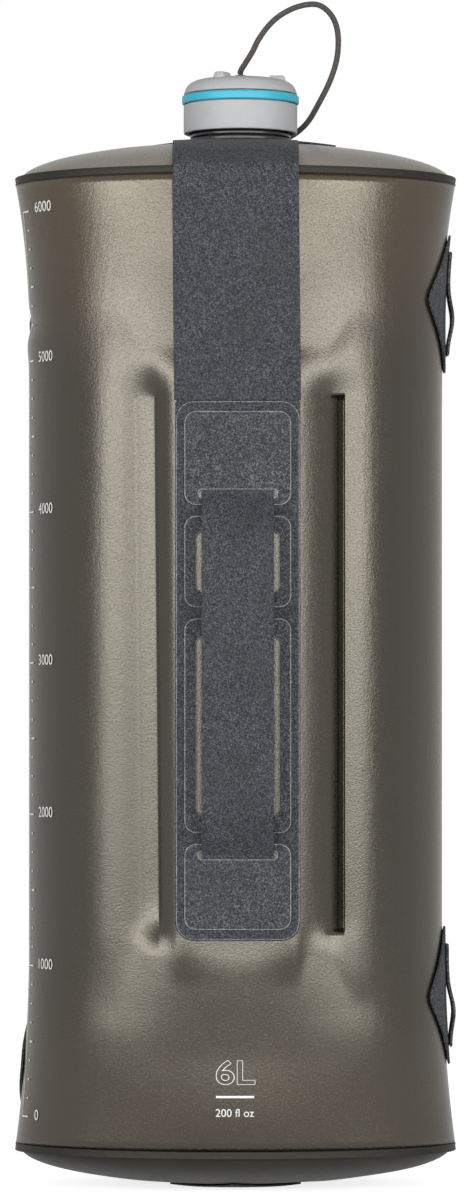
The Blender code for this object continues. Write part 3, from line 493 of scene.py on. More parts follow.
def aim(piece, *direction):
    """Turns an open shell's faces to look that way."""
    way = Vector(direction)
    if sum(face.normal.dot(way) * face.area for face in piece.data.polygons) < 0:
        piece.data.flip_normals()


def path_length(points):
    return sum((ahead - here).length for here, ahead in zip(points, points[1:]))


def circle(angle, radius, second=None):
    return Vector((radius * math.cos(angle), (second or radius) * math.sin(angle)))


def sheet(columns, rows, place, closed=False):
    """A grid of quads laid by place(across, up), both from 0 to 1. A closed one meets itself."""
    body = bmesh.new()
    body.loops.layers.uv.new("weave")
    bmesh.ops.create_grid(body, x_segments=columns, y_segments=rows, size=1.0, calc_uvs=True)
    for vert in body.verts:
        vert.co = place((vert.co.x + 1) / 2, (vert.co.y + 1) / 2)
    if closed:
        bmesh.ops.remove_doubles(body, verts=body.verts, dist=0.0000005)
        face_out(body)
    return body


def spread(stops, share):
    """The value at a share of the columns, where stops lists (value, columns up to the next value)."""
    total = sum(count for _, count in stops)
    at = share * total
    for (low, count), (high, _) in zip(stops, stops[1:]):
        if at <= count:
            return between(low, high, at / count)
        at -= count
    return stops[-1][0]


def turned(name, profile, steps, material, closed=True):
    """A body of revolution about the neck's axis, from a profile of (radius, height)."""
    body = bmesh.new()
    verts = [body.verts.new((radius, 0.0, z)) for radius, z in profile]
    pairs = list(zip(verts, verts[1:]))
    if closed and profile[0][0] > 0:
        pairs.append((verts[-1], verts[0]))
    edges = [body.edges.new(pair) for pair in pairs]
    bmesh.ops.spin(
        body, geom=verts + edges, cent=(0, 0, 0), axis=(0, 0, 1), angle=2 * math.pi, steps=steps,
        use_merge=True, use_duplicate=False,
    )
    bmesh.ops.remove_doubles(body, verts=body.verts, dist=0.000001)
    face_out(body)
    shift(body, NECK_X)
    return make_piece(name, body, material)


def rounded_profile(corners, radius, steps=3):
    """A closed profile with its corners rounded."""
    points = []
    count = len(corners)
    for i, corner in enumerate(corners):
        here = Vector(corner)
        before = Vector(corners[i - 1]) - here
        after = Vector(corners[(i + 1) % count]) - here
        reach = min(radius, before.length * 0.45, after.length * 0.45)
        start, end = here + before.normalized() * reach, here + after.normalized() * reach
        for step in range(steps + 1):
            share = step / steps
            point = start * (1 - share) ** 2 + here * 2 * share * (1 - share) + end * share**2
            points.append(tuple(point))
    return points


def thread_ridge(name, radius, reach, top_z, turns, half_height, material):
    """A thread's ridge, wound down a helix by a spin, its ends run out into the wall."""
    body = bmesh.new()
    foot, flank = radius - reach * 0.3, radius + reach * 0.8
    profile = [(foot, half_height), (flank, half_height * 0.45), (radius + reach, 0.0)]
    profile += [(flank, -half_height * 0.45), (foot, -half_height)]
    verts = [body.verts.new((r, 0.0, top_z + z)) for r, z in profile]
    edges = [body.edges.new(pair) for pair in zip(verts, verts[1:] + verts[:1])]
    steps = round(THREAD_STEPS * turns)
    bmesh.ops.spin(
        body, geom=verts + edges, cent=(0, 0, 0), axis=(0, 0, 1), dvec=(0, 0, -THREAD_LEAD * turns / steps),
        angle=-2 * math.pi * turns, steps=steps, use_merge=False, use_duplicate=False,
    )
    open_edges = [edge for edge in body.edges if edge.is_boundary or edge.is_wire]
    bmesh.ops.holes_fill(body, edges=open_edges, sides=0)
    for vert in body.verts:
        drop = (top_z - vert.co.z) / THREAD_LEAD
        run = clamp(min(drop + 0.06, turns + 0.06 - drop) / 0.12)
        length = math.hypot(vert.co.x, vert.co.y)
        keep = foot + (length - foot) * between(0.25, 1.0, eased(run))
        vert.co.x *= keep / length
        vert.co.y *= keep / length
    shift(body, NECK_X)
    face_out(body)
    return make_piece(name, body, material)


# What a piece rides on and stands for


def dress(piece, slot, *nodes):
    if nodes:
        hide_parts(*nodes)


def rides(piece, body, slot, *nodes):
    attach(piece, body)
    dress(piece, slot, *nodes)


def flattens(piece, *finish, keep=FLATTENED, anchor=0.0):
    """The piece stays with the carrier, on its own copy of its mesh."""
    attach(piece, "carrier")
    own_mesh(piece)
    if finish:
        dress(piece, *finish)


def make_film(name, body, material, *nodes, way=None, thickness=FILM, even=False):
    """A piece of the bag's film, from its outer face."""
    piece = make_piece(name, body, material)
    if way:
        aim(piece, *way)
    thicken(piece, thickness, even=even)
    flattens(piece, "film", *nodes)


# The shape of the bag


def flare_share(z):
    from_base = max(0.0, 1 - (z - BAG_BASE_Z) / BASE_FLARE)
    from_top = max(0.0, 1 - (BAG_TOP_Z - z) / TOP_FLARE)
    return min(1.0, from_base**2 + from_top**2)


def half_sizes(z):
    share = flare_share(z)
    half_width = between(MIDDLE_HALF_WIDTH, END_HALF_WIDTH, share)
    return half_width, between(MIDDLE_HALF_DEPTH, END_HALF_DEPTH, share)


# The front's depth at the middle plane's centre, without its pillows: a soft belly over and under them
FRONT_BELLY = (
    (0.0178, 0.0560), (0.0290, 0.0572), (0.0440, 0.0579), (0.0600, 0.0580), (0.0760, 0.0574),
    (0.0940, 0.0566), (0.1140, 0.0565), (0.1600, 0.0565), (0.2700, 0.0565), (0.3140, 0.0565),
    (0.3360, 0.0564), (0.3600, 0.0566), (0.3860, 0.0566), (0.4013, 0.0560),
)


def front_half_depth(z):
    last = len(FRONT_BELLY) - 1
    i = max(k for k in range(last) if FRONT_BELLY[k][0] <= z or k == 0)
    low, high = FRONT_BELLY[i], FRONT_BELLY[i + 1]
    before, after = FRONT_BELLY[max(i - 1, 0)], FRONT_BELLY[min(i + 2, last)]
    width = high[0] - low[0]
    t = clamp((z - low[0]) / width)
    start = (high[1] - before[1]) / (high[0] - before[0]) * width
    end = (after[1] - low[1]) / (after[0] - low[0]) * width
    return (
        (2 * t**3 - 3 * t**2 + 1) * low[1]
        + (t**3 - 2 * t**2 + t) * start
        + (3 * t**2 - 2 * t**3) * high[1]
        + (t**3 - t**2) * end
    )


def crease_window(x, z):
    """1 where the front is folded into three pillows. The fold ends sooner than the pillows beside it."""
    outer = eased((abs(x) - 0.0345) / 0.014)
    under = 0.0110 * eased((0.0290 - abs(x)) / 0.0060)
    low = eased((z - between(0.0930, 0.0740, outer) + under) / between(0.0190, 0.0300, outer))
    high = eased((between(0.3340, 0.3500, outer) - z) / between(0.0220, 0.0400, outer))
    return min(low, high)


def strip_window(z, ends=0.0012):
    """1 along the welded strips, with short square ends."""
    inside = min(z - STRIP_LOW_Z, CREASE_HIGH_Z - z)
    return eased(inside / ends + 0.5)


def left_fold_x(z):
    share = clamp((CREASE_HIGH_Z - z) / (CREASE_HIGH_Z - CREASE_LOW_Z))
    return between(LEFT_FOLD_HIGH_X, LEFT_FOLD_LOW_X, share)


def lobe_depth(x):
    return math.sqrt(max(0.0, LOBE_RADIUS**2 - (abs(x) - LOBE_X) ** 2))


def front_lobe(x):
    return lobe_depth(x) + 0.0028 * eased((0.076 - abs(x)) / 0.032)


def meet(first, second, soft):
    """The outer one of two surfaces, rounded where they meet."""
    return (first + second + math.sqrt((first - second) ** 2 + soft**2)) / 2


def middle_pillow(x, z):
    if x < LEFT_GROUND_X:
        share = (LEFT_GROUND_X - x) / (LEFT_GROUND_X - left_fold_x(z))
        return GROUND_HALF_DEPTH - 0.0106 * share**1.8
    share = max(0.0, x - RIGHT_GROUND_X) / (RIGHT_FOLD_X - RIGHT_GROUND_X)
    return GROUND_HALF_DEPTH - 0.0112 * share**1.4


def front_pillows(x, z):
    """The depth of the front's three pillows, with sharp folds beside the strips and soft ones past them."""
    past = max(STRIP_LOW_Z - z, z - CREASE_HIGH_Z, 0.0)
    soft = 0.0003 + past * 0.45
    lobe, pillow = front_lobe(x), middle_pillow(x, z)
    depth = meet(lobe, pillow, soft)
    if x > RIGHT_GROUND_X:
        cut = between(pillow, lobe, eased((x - RIGHT_STRIP_X + 0.0004) / 0.0005))
        depth = between(depth, cut, strip_window(z))
    return depth


def back_pillows(x):
    if abs(x) >= CREASE_X:
        return lobe_depth(x)
    rise = BACK_HALF_DEPTH - BACK_FOLD_DEPTH
    radius = (CREASE_X**2 + rise**2) / (2 * rise)
    return BACK_FOLD_DEPTH + math.sqrt(radius**2 - x**2) - (radius - rise)


def front_depth(x, z):
    """How far the front of the bag stands out from the middle plane."""
    half_width = half_sizes(z)[0]
    full = 2.0 + 0.25 * eased((z - 0.024) / 0.045) * eased((0.395 - z) / 0.045)
    round_depth = front_half_depth(z) * max(0.0, 1 - min(1.0, abs(x) / half_width) ** full) ** (1 / full)
    near = eased((z - 0.050) / 0.045) * eased((0.372 - z) / 0.055)
    round_depth += near * (GROUND_HALF_DEPTH - FLAT_HALF_DEPTH) / (1 + (x / 0.033) ** 4)
    depth = between(round_depth, front_pillows(x, z), crease_window(x, z))
    # A fine seam at the outer edge of the left strip, and a drawn spot under each strip
    depth -= strip_window(z) * 0.00012 * bump(x, left_fold_x(z) - 0.0047, 0.0004)
    for middle in (-0.0385, 0.0450):
        depth += 0.00025 * bump(x, middle, 0.0055) * bump(z, STRIP_LOW_Z - 0.0030, 0.0060)
    return depth


def back_depth(x, z):
    half_width, half_depth = half_sizes(z)
    round_depth = half_depth * math.sqrt(max(0.0, 1 - (x / half_width) ** 2))
    depth = between(round_depth, back_pillows(x), crease_window(x, z))
    return depth - strip_window(z) * 0.0016 * bump(abs(x), CREASE_X, 0.0013)


def film_place(side, angle, z):
    """A point of the film: side -1 is the front, and the angle runs from -90 at the left to 90."""
    half_width = half_sizes(z)[0]
    x = half_width * math.sin(math.radians(angle))
    if side < 0:
        x += (left_fold_x(z) - LEFT_FOLD_HIGH_X) * bump(x, -0.0350, 0.0090) * crease_window(x, z)
    depth = front_depth(x, z) if side < 0 else back_depth(x, z)
    edge = eased(abs(angle) / 90 * 3 - 2)
    slack = noise.noise(Vector((x * 14, side * 2.7, z * 9))) * 0.00022
    slack += noise.noise(Vector((x * 40, side * 5.1, z * 26))) * 0.00006
    quiet = 1 - 0.6 * eased(1 - abs(x) / 0.03)
    depth = max(0.0, depth + slack * quiet * (1 - edge))
    # The upper left lash patch draws the side in, and a fold lies above it
    near = clamp(-math.sin(math.radians(angle)) * 4 - 3)
    x += near * (0.0011 * bump(z, 0.3462, 0.0055) - 0.0006 * bump(z, 0.3375, 0.0060))
    return Vector((x, side * depth, z))


ANGLE_STOPS = (
    (-90, 16), (-72, 18), (-40, 8), (-30.5, 18), (-26.4, 16), (-21.5, 18),
    (14, 12), (26.8, 34), (32.5, 8), (42, 16), (72, 16), (90, 0),
)
BACK_STOPS = ((90, 20), (34, 10), (22, 16), (-22, 10), (-34, 20), (-90, 0))
HEIGHT_STOPS = (
    (BAG_BASE_Z, 14), (0.062, 10), (0.0930, 16), (0.1090, 24),
    (0.3085, 16), (0.3175, 20), (0.3560, 16), (BAG_TOP_Z, 0),
)
FRONT_COLUMNS = sum(count for _, count in ANGLE_STOPS)
BACK_COLUMNS = sum(count for _, count in BACK_STOPS)
WRAP_COLUMNS = FRONT_COLUMNS + BACK_COLUMNS
WRAP_ROWS = sum(count for _, count in HEIGHT_STOPS)


def wrap_point(across, up):
    z = spread(HEIGHT_STOPS, up)
    column = across * WRAP_COLUMNS
    if column <= FRONT_COLUMNS:
        return film_place(-1, spread(ANGLE_STOPS, column / FRONT_COLUMNS), z)
    return film_place(1, spread(BACK_STOPS, (column - FRONT_COLUMNS) / BACK_COLUMNS), z)


def print_spot(x, z):
    """A point of the print, just outside the front film at x and z."""
    step = 0.0002

    def film(x, z):
        return Vector((x, -front_depth(x, z), z))

    across = film(x + step, z) - film(x - step, z)
    up = film(x, z + step) - film(x, z - step)
    return film(x, z) + across.cross(up).normalized() * PRINT_OUT


def make_wrap():
    body = sheet(WRAP_COLUMNS, WRAP_ROWS, wrap_point, closed=True)
    # The weld marks are the right front strip and the back folds, where the film is darkened as painted
    # shade.
    strips = body.verts.layers.float.new("weld")
    for vert in body.verts:
        x, y, z = vert.co
        if y < 0:
            strip_shade = eased((x - RIGHT_FOLD_X) / 0.0005) * eased((RIGHT_STRIP_X - x) / 0.0005)
        else:
            strip_shade = bump(abs(x), CREASE_X, 0.0015) * 0.8
        vert[strips] = strip_window(z) * strip_shade
    make_film("bag_wrap", body, FILM_MATERIAL, "front_wall", "back_wall")


def make_webs():
    for name, side in (("left_web", -1), ("right_web", 1)):

        def place(across, up, side=side):
            z = between(CREASE_LOW_Z, CREASE_HIGH_Z, up)
            depth = between(-1, 1, across) * WEB_HALF_DEPTH
            sway = 0.0012 * math.sin(up * math.pi * 3) * (1 - abs(2 * across - 1))
            return Vector((side * WEB_X + sway, depth, z))

        make_film(name + "_sheet", sheet(16, 40, place), PANEL_MATERIAL, name, thickness=0.0006, even=True)


def dome_share(x, y, flat_share):
    reach = min(1.0, math.hypot(x / PANEL_HALF_WIDTH, y / PANEL_HALF_DEPTH))

    def sunk(share):
        return 1 - math.sqrt(1 - share * share)

    return max(0.0, (sunk(reach) - sunk(flat_share)) / (1 - sunk(flat_share)))


def top_z(x, y):
    return TOP_FLAT_Z - (TOP_FLAT_Z - TOP_EDGE_Z) * dome_share(x, y, 0.42)


def base_z(x, y):
    return between(BASE_FLAT_Z, BASE_EDGE_Z, dome_share(x, y, 0.22))


def make_end_panels():
    def top_place(across, up):
        angle = 2 * math.pi * across
        share = math.sin(up * math.pi / 2)
        inner = Vector((NECK_X, 0.0)) + circle(angle, 0.0196)
        spot = inner.lerp(circle(angle, PANEL_HALF_WIDTH, PANEL_HALF_DEPTH), share)
        swell = 0.0004 * noise.noise(Vector((spot.x * 30, spot.y * 30, 4.0))) * share * (1 - share) * 4
        return Vector((spot.x, spot.y, top_z(spot.x, spot.y) - abs(swell)))

    def base_place(across, up):
        angle = -2 * math.pi * across
        share = math.sin(up * math.pi / 2)
        x, y = share * PANEL_HALF_WIDTH * math.cos(angle), share * PANEL_HALF_DEPTH * math.sin(angle)
        swell = 0.0005 * noise.noise(Vector((x * 26, y * 26, 9.0))) * share * (1 - share) * 4
        return Vector((x, y, base_z(x, y) + abs(swell)))

    for name, way, place, material in (
        ("top_panel", 1, top_place, PANEL_MATERIAL),
        ("bottom_panel", -1, base_place, BASE_MATERIAL),
    ):
        make_film(name + "_dome", sheet(112, 30, place, closed=True), material, name, way=(0, 0, way))


def make_weld_band(name, node, low, lip_up):
    """The welded band, a ribbed ring whose free edge ends in a thin pale lip."""
    high = low + RIM_HEIGHT - GAP
    half_width, half_depth = END_HALF_WIDTH + 0.0005, END_HALF_DEPTH + 0.0005
    ribs = ((0.0, 0.0001), (0.0002, 0.0006), (0.0, 0.0012), (0.0002, 0.0018), (0.0, 0.0024))
    outline = [(out, low + z) for out, z in ribs]
    outline += [(0.0004, high - 0.0004), (0.0001, high), (-0.0016, high), (-0.0016, low), (-0.0002, low)]
    if not lip_up:
        outline = [(out, low + high - z) for out, z in reversed(outline)]

    def place(across, up):
        angle = 2 * math.pi * across
        out, z = outline[round(up * len(outline)) % len(outline)]
        normal = Vector((math.cos(angle) / half_width, math.sin(angle) / half_depth, 0)).normalized()
        ripple = 1 + 0.15 * math.sin(9 * angle) if out > 0 else 1
        return Vector((*circle(angle, half_width, half_depth), z)) + normal * (out * ripple - 0.0004)

    band = make_piece(name, sheet(180, len(outline), place, closed=True), WELD_MATERIAL)
    flattens(band, "weld", node)


# Fabric


def make_cloth(name, body, material, thickness, edge=0.0, way=None):
    """A piece of cloth from its outer face, which then gets its thickness."""
    piece = make_piece(name, body, material)
    if way:
        aim(piece, *way)
    thicken(piece, thickness, edge)
    return piece


def make_strap():
    """The strap from the handle up the front, over the weld and back to the neck patch."""
    out = SKIN_GAP + FABRIC
    low_z = HANDLE_HIGH_Z + 0.00005
    rim_high = BAG_TOP_Z + RIM_HEIGHT

    def path(x):
        points = []
        for i in range(25):
            z = between(low_z, BAG_TOP_Z - 0.002, i / 24)
            lift = 0.0011 * bump(z, 0.3880, 0.0085) + 0.0006 * bump(z, 0.3420, 0.0160)
            lift -= 0.0003 * eased(1 - i / 4)
            lean = 0.0008 * (1 - i / 24)
            points.append(Vector((x + lean, -front_depth(x + lean, z) - out - lift, z)))
        edge = -front_depth(x, BAG_TOP_Z) - 0.0005 - out
        for back, z in ((0.0, BAG_TOP_Z), (0.0, rim_high - 0.0004), (0.0006, rim_high + 0.0010)):
            points.append(Vector((x, edge + back, z)))
        for i in range(14):
            share = between(0.955, 0.5, i / 13)
            y = -share * PANEL_HALF_DEPTH * math.sqrt(1 - (x / PANEL_HALF_WIDTH) ** 2)
            points.append(Vector((x, y, max(top_z(x, y), rim_high) + out)))
        last = points[-1].y
        for i in (1, 2, 3):
            y = between(last, -patch_edge(x - PATCH_X) - 2 * GAP, i / 3)
            points.append(Vector((x, y, top_z(x, y) + out)))
        return points

    middle = path(0.0)

    def place(across, up):
        x = between(-STRAP_HALF_WIDTH, STRAP_HALF_WIDTH, across)
        spot = path(x)[round(up * (len(middle) - 1))]
        spot.y -= abs(noise.noise(Vector((x * 60, spot.z * 40, 2.0))) * 0.00015)
        return spot

    flat = (2 * STRAP_HALF_WIDTH, path_length(middle))
    body = sheet(28, len(middle) - 1, place)
    strap = make_cloth(
        "carry_strap_cloth", body, STRAP_FABRIC, FABRIC, 0.00022
    )
    flattens(strap, "fabric", "carry_strap", keep=0.10, anchor=-PATCH_HALF_DEPTH)


def patch_edge(x):
    return PATCH_HALF_DEPTH * max(0.0, 1 - (x / PATCH_HALF_WIDTH) ** 2)


def make_neck_patch():
    """A pointed oval round the foot of the neck, with a pressed line inside its edge."""

    def place(across, up):
        angle = 2 * math.pi * across
        # The outline's point in this direction, found by halving
        low, high = 0.0, PATCH_HALF_WIDTH
        for _ in range(24):
            reach = (low + high) / 2
            x, y = circle(angle, reach)
            inside = abs(y) < patch_edge(x) and abs(x) < PATCH_HALF_WIDTH
            low, high = (reach, high) if inside else (low, reach)
        inner = Vector((NECK_X - PATCH_X, 0.0)) + circle(angle, 0.0195)
        outer = circle(angle, low)
        spot = inner.lerp(outer, up) if (outer - inner).dot(outer) > 0 else inner
        line = 0.00018 * bump(up, 0.78, 0.05)
        return Vector((PATCH_X + spot.x, spot.y, TOP_FLAT_Z + GAP + FABRIC - line))

    body = sheet(120, 14, place, closed=True)
    patch = make_cloth(
        "neck_patch_cloth", body, STRAP_FABRIC, FABRIC - 0.0001, 0.0002, (0, 0, 1)
    )
    rides(patch, "carrier", "fabric", "neck_patch")


def section_point(angle, z):
    """A point of the bag's section at that height, from the side line at 0 towards the front."""
    x = half_sizes(z)[0] * math.cos(angle)
    return Vector((x, -front_depth(x, z) if angle > 0 else back_depth(x, z), z))


def side_point(side, along, z, out):
    """A point outside the bag's side, at that arc length in front of the side line."""
    angle, step = 0.0, math.copysign(0.02, along)
    here, left = section_point(0.0, z), abs(along)
    while True:
        ahead = section_point(angle + step, z)
        length = (ahead - here).length
        if length >= left:
            break
        left -= length
        angle += step
        here = ahead
    spot = here.lerp(ahead, left / length)
    heading = (ahead - here) * math.copysign(1.0, along)
    normal = Vector((-heading.y, heading.x, 0)).normalized()
    spot += normal * out
    return Vector((side * spot.x, spot.y, z))


def make_side_tab(prefix, side, middle_z, forward):
    """A diamond of webbing welded to the bag's side, and the loop sewn over it."""
    out = SKIN_GAP + FABRIC

    def patch_place(across, up):
        share = between(-1, 1, up)
        slope = (math.sqrt(share * share + 0.010) - 0.1) / (math.sqrt(1.010) - 0.1)
        end = max(0.0, (abs(share) - 0.90) / 0.10)
        half_width = between(TAB_HALF, 0.0040, slope) * math.sqrt(1 - 0.96 * end * end)
        line = 0.00026 * bump(half_width * (1 - abs(2 * across - 1)), 0.0034, 0.0007)
        along = forward + half_width * (1 - 2 * across)
        return side_point(side, along, middle_z + TAB_HALF * share, out - line)

    def loop_place(across, up):
        share = between(-1, 1, up)
        arch = out + GAP + FABRIC + 0.0022 * bump(share, -0.30, 0.42)
        rib = 0.00012 * math.cos(across * 2 * math.pi * 4)
        along = forward + LOOP_HALF_WIDTH * (1 - 2 * across)
        return side_point(side, along, middle_z + LOOP_HALF_HEIGHT * share, arch + rib)

    def add(name, node, body):
        cloth = make_cloth(name, body, LASH_FABRIC, FABRIC, 0.0002, (side, 0, 0))
        flattens(cloth, "fabric", prefix + node)

    patch, whole = prefix + "_lash_cloth", 2 * TAB_HALF
    add(patch, "_lash_patch", sheet(30, 36, patch_place))
    loop = sheet(24, 44, loop_place)
    add(prefix + "_lash_webbing", "_lash_loop", loop)


def make_bottom_tab():
    half = 0.0263

    def place(across, up):
        share = between(-1, 1, up)
        half_width = between(half, 0.0015, abs(share))
        line = 0.0002 * bump(half_width * (1 - abs(2 * across - 1)), 0.0030, 0.0006)
        x, y = half_width * (1 - 2 * across), half * share
        return Vector((x, y, base_z(x, y) - 0.0011 + line))

    patch = make_cloth(
        "bottom_lash_cloth", sheet(26, 30, place), LASH_FABRIC,
        0.0007, way=(0, 0, -1),
    )
    flattens(patch, "fabric", "bottom_lash_patch", "bottom_lash_loop")


# Handle


def rounded_outline(body, width, height, radius, z, top_radius=None):
    """Adds the edges of a rounded rectangle in the plane of the handle's face."""
    made = bmesh.ops.create_grid(body, x_segments=1, y_segments=1, size=0.5)["verts"]
    bmesh.ops.scale(body, vec=(width, height, 1.0), verts=made)
    shift(body, y=z, verts=made)
    upper = [vert for vert in made if vert.co.y > z]
    lower = [vert for vert in made if vert.co.y < z]
    for corners, size in ((upper, top_radius or radius), (lower, radius)):
        round_off(body, corners, size, 6, "VERTICES")


def make_plate(name, nodes, size, holes, face_y, thickness, edge, materials):
    """An upright plate with rounded holes, its front edges bevelled and given the last material, which for
    the face and the pads is a painted highlight.
    """
    body = bmesh.new()
    for outline in (size, *holes):
        rounded_outline(body, *outline)
    bmesh.ops.delete(body, geom=list(body.faces), context="FACES_ONLY")
    bmesh.ops.triangle_fill(body, use_beauty=True, edges=list(body.edges))
    face_out(body)
    if sum(face.normal.z for face in body.faces) < 0:
        bmesh.ops.reverse_faces(body, faces=body.faces)
    made = bmesh.ops.extrude_face_region(body, geom=list(body.faces))["geom"]
    shift(body, z=thickness, verts=[item for item in made if isinstance(item, bmesh.types.BMVert)])
    face_out(body)
    rim = [
        e
        for e in body.edges
        if len(e.link_faces) == 2
        and all(v.co.z > thickness / 2 for v in e.verts)
        and abs(e.link_faces[0].normal.z - e.link_faces[1].normal.z) > 0.5
    ]
    for face in round_off(body, rim, edge, 2):
        face.material_index = len(materials) - 1
    rotate(body, 90, "X")
    shift(body, HANDLE_X, face_y + thickness)
    plate = make_piece(name, body, *materials)
    plate.data.shade_flat()
    rides(plate, "front_side", "fabric", *nodes)


def make_handle():
    middle = (HANDLE_LOW_Z + HANDLE_HIGH_Z) / 2
    length = HANDLE_HIGH_Z - HANDLE_LOW_Z
    slots = [(0.0306, 0.0032, 0.0011, z) for z in (LOWER_SLOT_Z, UPPER_SLOT_Z)]
    long_window, short_window = (0.0322, 0.0693, 0.0022, 0.1844), (0.0322, 0.0234, 0.0022, 0.24855)
    holes = [*slots, long_window, short_window]
    ground, face = (0.0490, length, 0.0072, middle, 0.0012), (0.0482, length - 0.0010, 0.0070, middle)
    # The face's bevelled edges get the pale painted highlight, and so do the pads' edges below.
    pressed = (STRAP_FABRIC, EDGE_HIGHLIGHT)
    ground_y = HANDLE_FACE_Y + 0.0003
    make_plate("handle_ground", ["handle_base"], ground, holes, ground_y, 0.0008, 0.0003, pressed[:1])
    make_plate("handle_face", [], face, holes, HANDLE_FACE_Y, 0.0003, 0.00022, pressed)
    for name, node, height, z, hole in (
        ("upper_anchor", "upper_anchor_pad", 0.0366, 0.2890, slots[1]),
        ("short_frame", "short_grip_frame", 0.0357, 0.24855, short_window),
        ("long_frame", "long_grip_frame", 0.0838, 0.1844, long_window),
        ("lower_anchor", "lower_anchor_pad", 0.0335, 0.12145, slots[0]),
    ):
        outline = (0.0417, height, 0.0045, z)
        make_plate(name, [node], outline, [hole], PAD_FACE_Y, 0.0009, 0.0003, (PAD_FABRIC, EDGE_HIGHLIGHT))


def band_out(z):
    from_end = min(z - LOWER_SLOT_Z, UPPER_SLOT_Z - z)
    rise = 1 - (1 - clamp(from_end / 0.022)) ** 2.2
    crown = math.sin(math.pi * clamp((z - LOWER_SLOT_Z) / (UPPER_SLOT_Z - LOWER_SLOT_Z)))
    return GAP + 0.0100 * rise * (0.86 + 0.14 * crown)


def make_band():
    """The band that a hand goes behind, in one length from slot to slot."""
    rows, past_slot = 96, 0.0014

    def place(across, up):
        share = 0.5 - math.cos(math.pi * up) / 2
        z = between(LOWER_SLOT_Z - past_slot, UPPER_SLOT_Z + past_slot, share)
        x = HANDLE_X + between(-BAND_HALF_WIDTH, BAND_HALF_WIDTH, across)
        cupped = 0.0005 * (2 * across - 1) ** 2 * clamp(band_out(z) / 0.01)
        return Vector((x, HANDLE_FACE_Y - band_out(z) - BAND_THICKNESS + cupped, z))

    flat = (0.0283, path_length([place(0.5, i / rows) for i in range(rows + 1)]))
    body = sheet(20, rows, place)
    band = make_cloth(
        "grab_band_cloth", body, STRAP_FABRIC, BAND_THICKNESS, 0.0004
    )
    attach(band, "front_side")
    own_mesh(band)
    dress(band, "fabric", "grab_band", "band_lower_end", "band_upper_end")


# Neck, cap and tether


def box_profile(outer, inner, low, high, radius, steps=3):
    return rounded_profile([(outer, high), (outer, low), (inner, low), (inner, high)], radius, steps)


def make_neck():
    wall, rib, flange, bore = NECK_RADIUS, 0.0202, 0.0222, 0.0170
    corners = [(wall, NECK_TOP_Z), (wall, 0.4222), (rib, 0.4220), (rib, 0.4206), (wall, 0.4204)]
    corners += [(wall, 0.4157), (flange, 0.4157), (flange, 0.4145), (bore, 0.4145), (bore, NECK_TOP_Z)]
    neck = turned("spout_neck_black", rounded_profile(corners, 0.0004), 112, NECK_PLASTIC)
    rides(neck, "carrier", "neck_black", "spout_neck")
    ridge = thread_ridge("neck_thread", wall, 0.0010, 0.4326, 1.0, 0.0011, NECK_PLASTIC)
    rides(ridge, "carrier", "neck_black")


def make_collar():
    """The loose ring that holds the tether's lower end in its ear."""
    low, high = COLLAR_Z, COLLAR_Z + 0.0018
    ring = turned("tether_collar_ring", box_profile(0.0208, 0.0195, low, high, 0.0005), 96, NECK_PLASTIC)
    rides(ring, "carrier", "neck_black", "tether_collar")
    body = bmesh.new()
    bmesh.ops.create_cube(body, size=1.0)
    bmesh.ops.scale(body, vec=(0.0067, 0.0056, 0.0015), verts=body.verts)
    corners = [e for e in body.edges if abs(e.verts[0].co.z - e.verts[1].co.z) > 0.001]
    round_off(body, corners, 0.0018, 5)
    rims = [e for e in body.edges if abs(e.verts[0].co.z - e.verts[1].co.z) < 0.0001]
    round_off(body, rims, 0.0003, 2)
    shift(body, 0.0238, 0, (low + high) / 2)
    rotate(body, 47)
    shift(body, NECK_X)
    ear = make_piece("tether_collar_ear", body, NECK_PLASTIC)
    rides(ear, "carrier", "neck_black")


def make_cap():
    seat, skirt, bore = 0.0216, 0.02285, 0.0208
    skirt_top, deck_top, deck_low = 0.4339, 0.4379, 0.4365
    corners = [(seat, skirt_top), (skirt, skirt_top), (skirt, CAP_BASE_Z), (bore, CAP_BASE_Z)]
    corners.append((bore, deck_low))
    # The rounded corners of the skirt alone, between a deck that stays square
    profile = [(0.0, deck_top), (seat, deck_top), (seat, skirt_top + 0.0001)]
    profile += rounded_profile(corners, 0.0006, 4)[5:20] + [(0.02075, deck_low), (0.0, deck_low)]
    made = turned("cap_skirt_grey", profile, 128, CAP_PLASTIC, closed=False)
    rides(made, "cap", "cap_grey", "cap_skirt")
    ridge = thread_ridge("cap_thread", 0.0209, -0.0010, 0.4286, 0.55, 0.0010, CAP_PLASTIC)
    rides(ridge, "cap", "cap_grey")
    ring = turned(
        "cap_ring_cyan", box_profile(0.0235, 0.0219, 0.4342, 0.4376, 0.0010, 5), 128, RING_PLASTIC
    )
    rides(ring, "cap", "cap_cyan", "cap_ring")
    gasket = turned("cap_gasket_ring", box_profile(0.0204, 0.0164, 0.4350, 0.4362, 0.0004), 96, SILICONE)
    rides(gasket, "cap", "silicone", "cap_gasket")


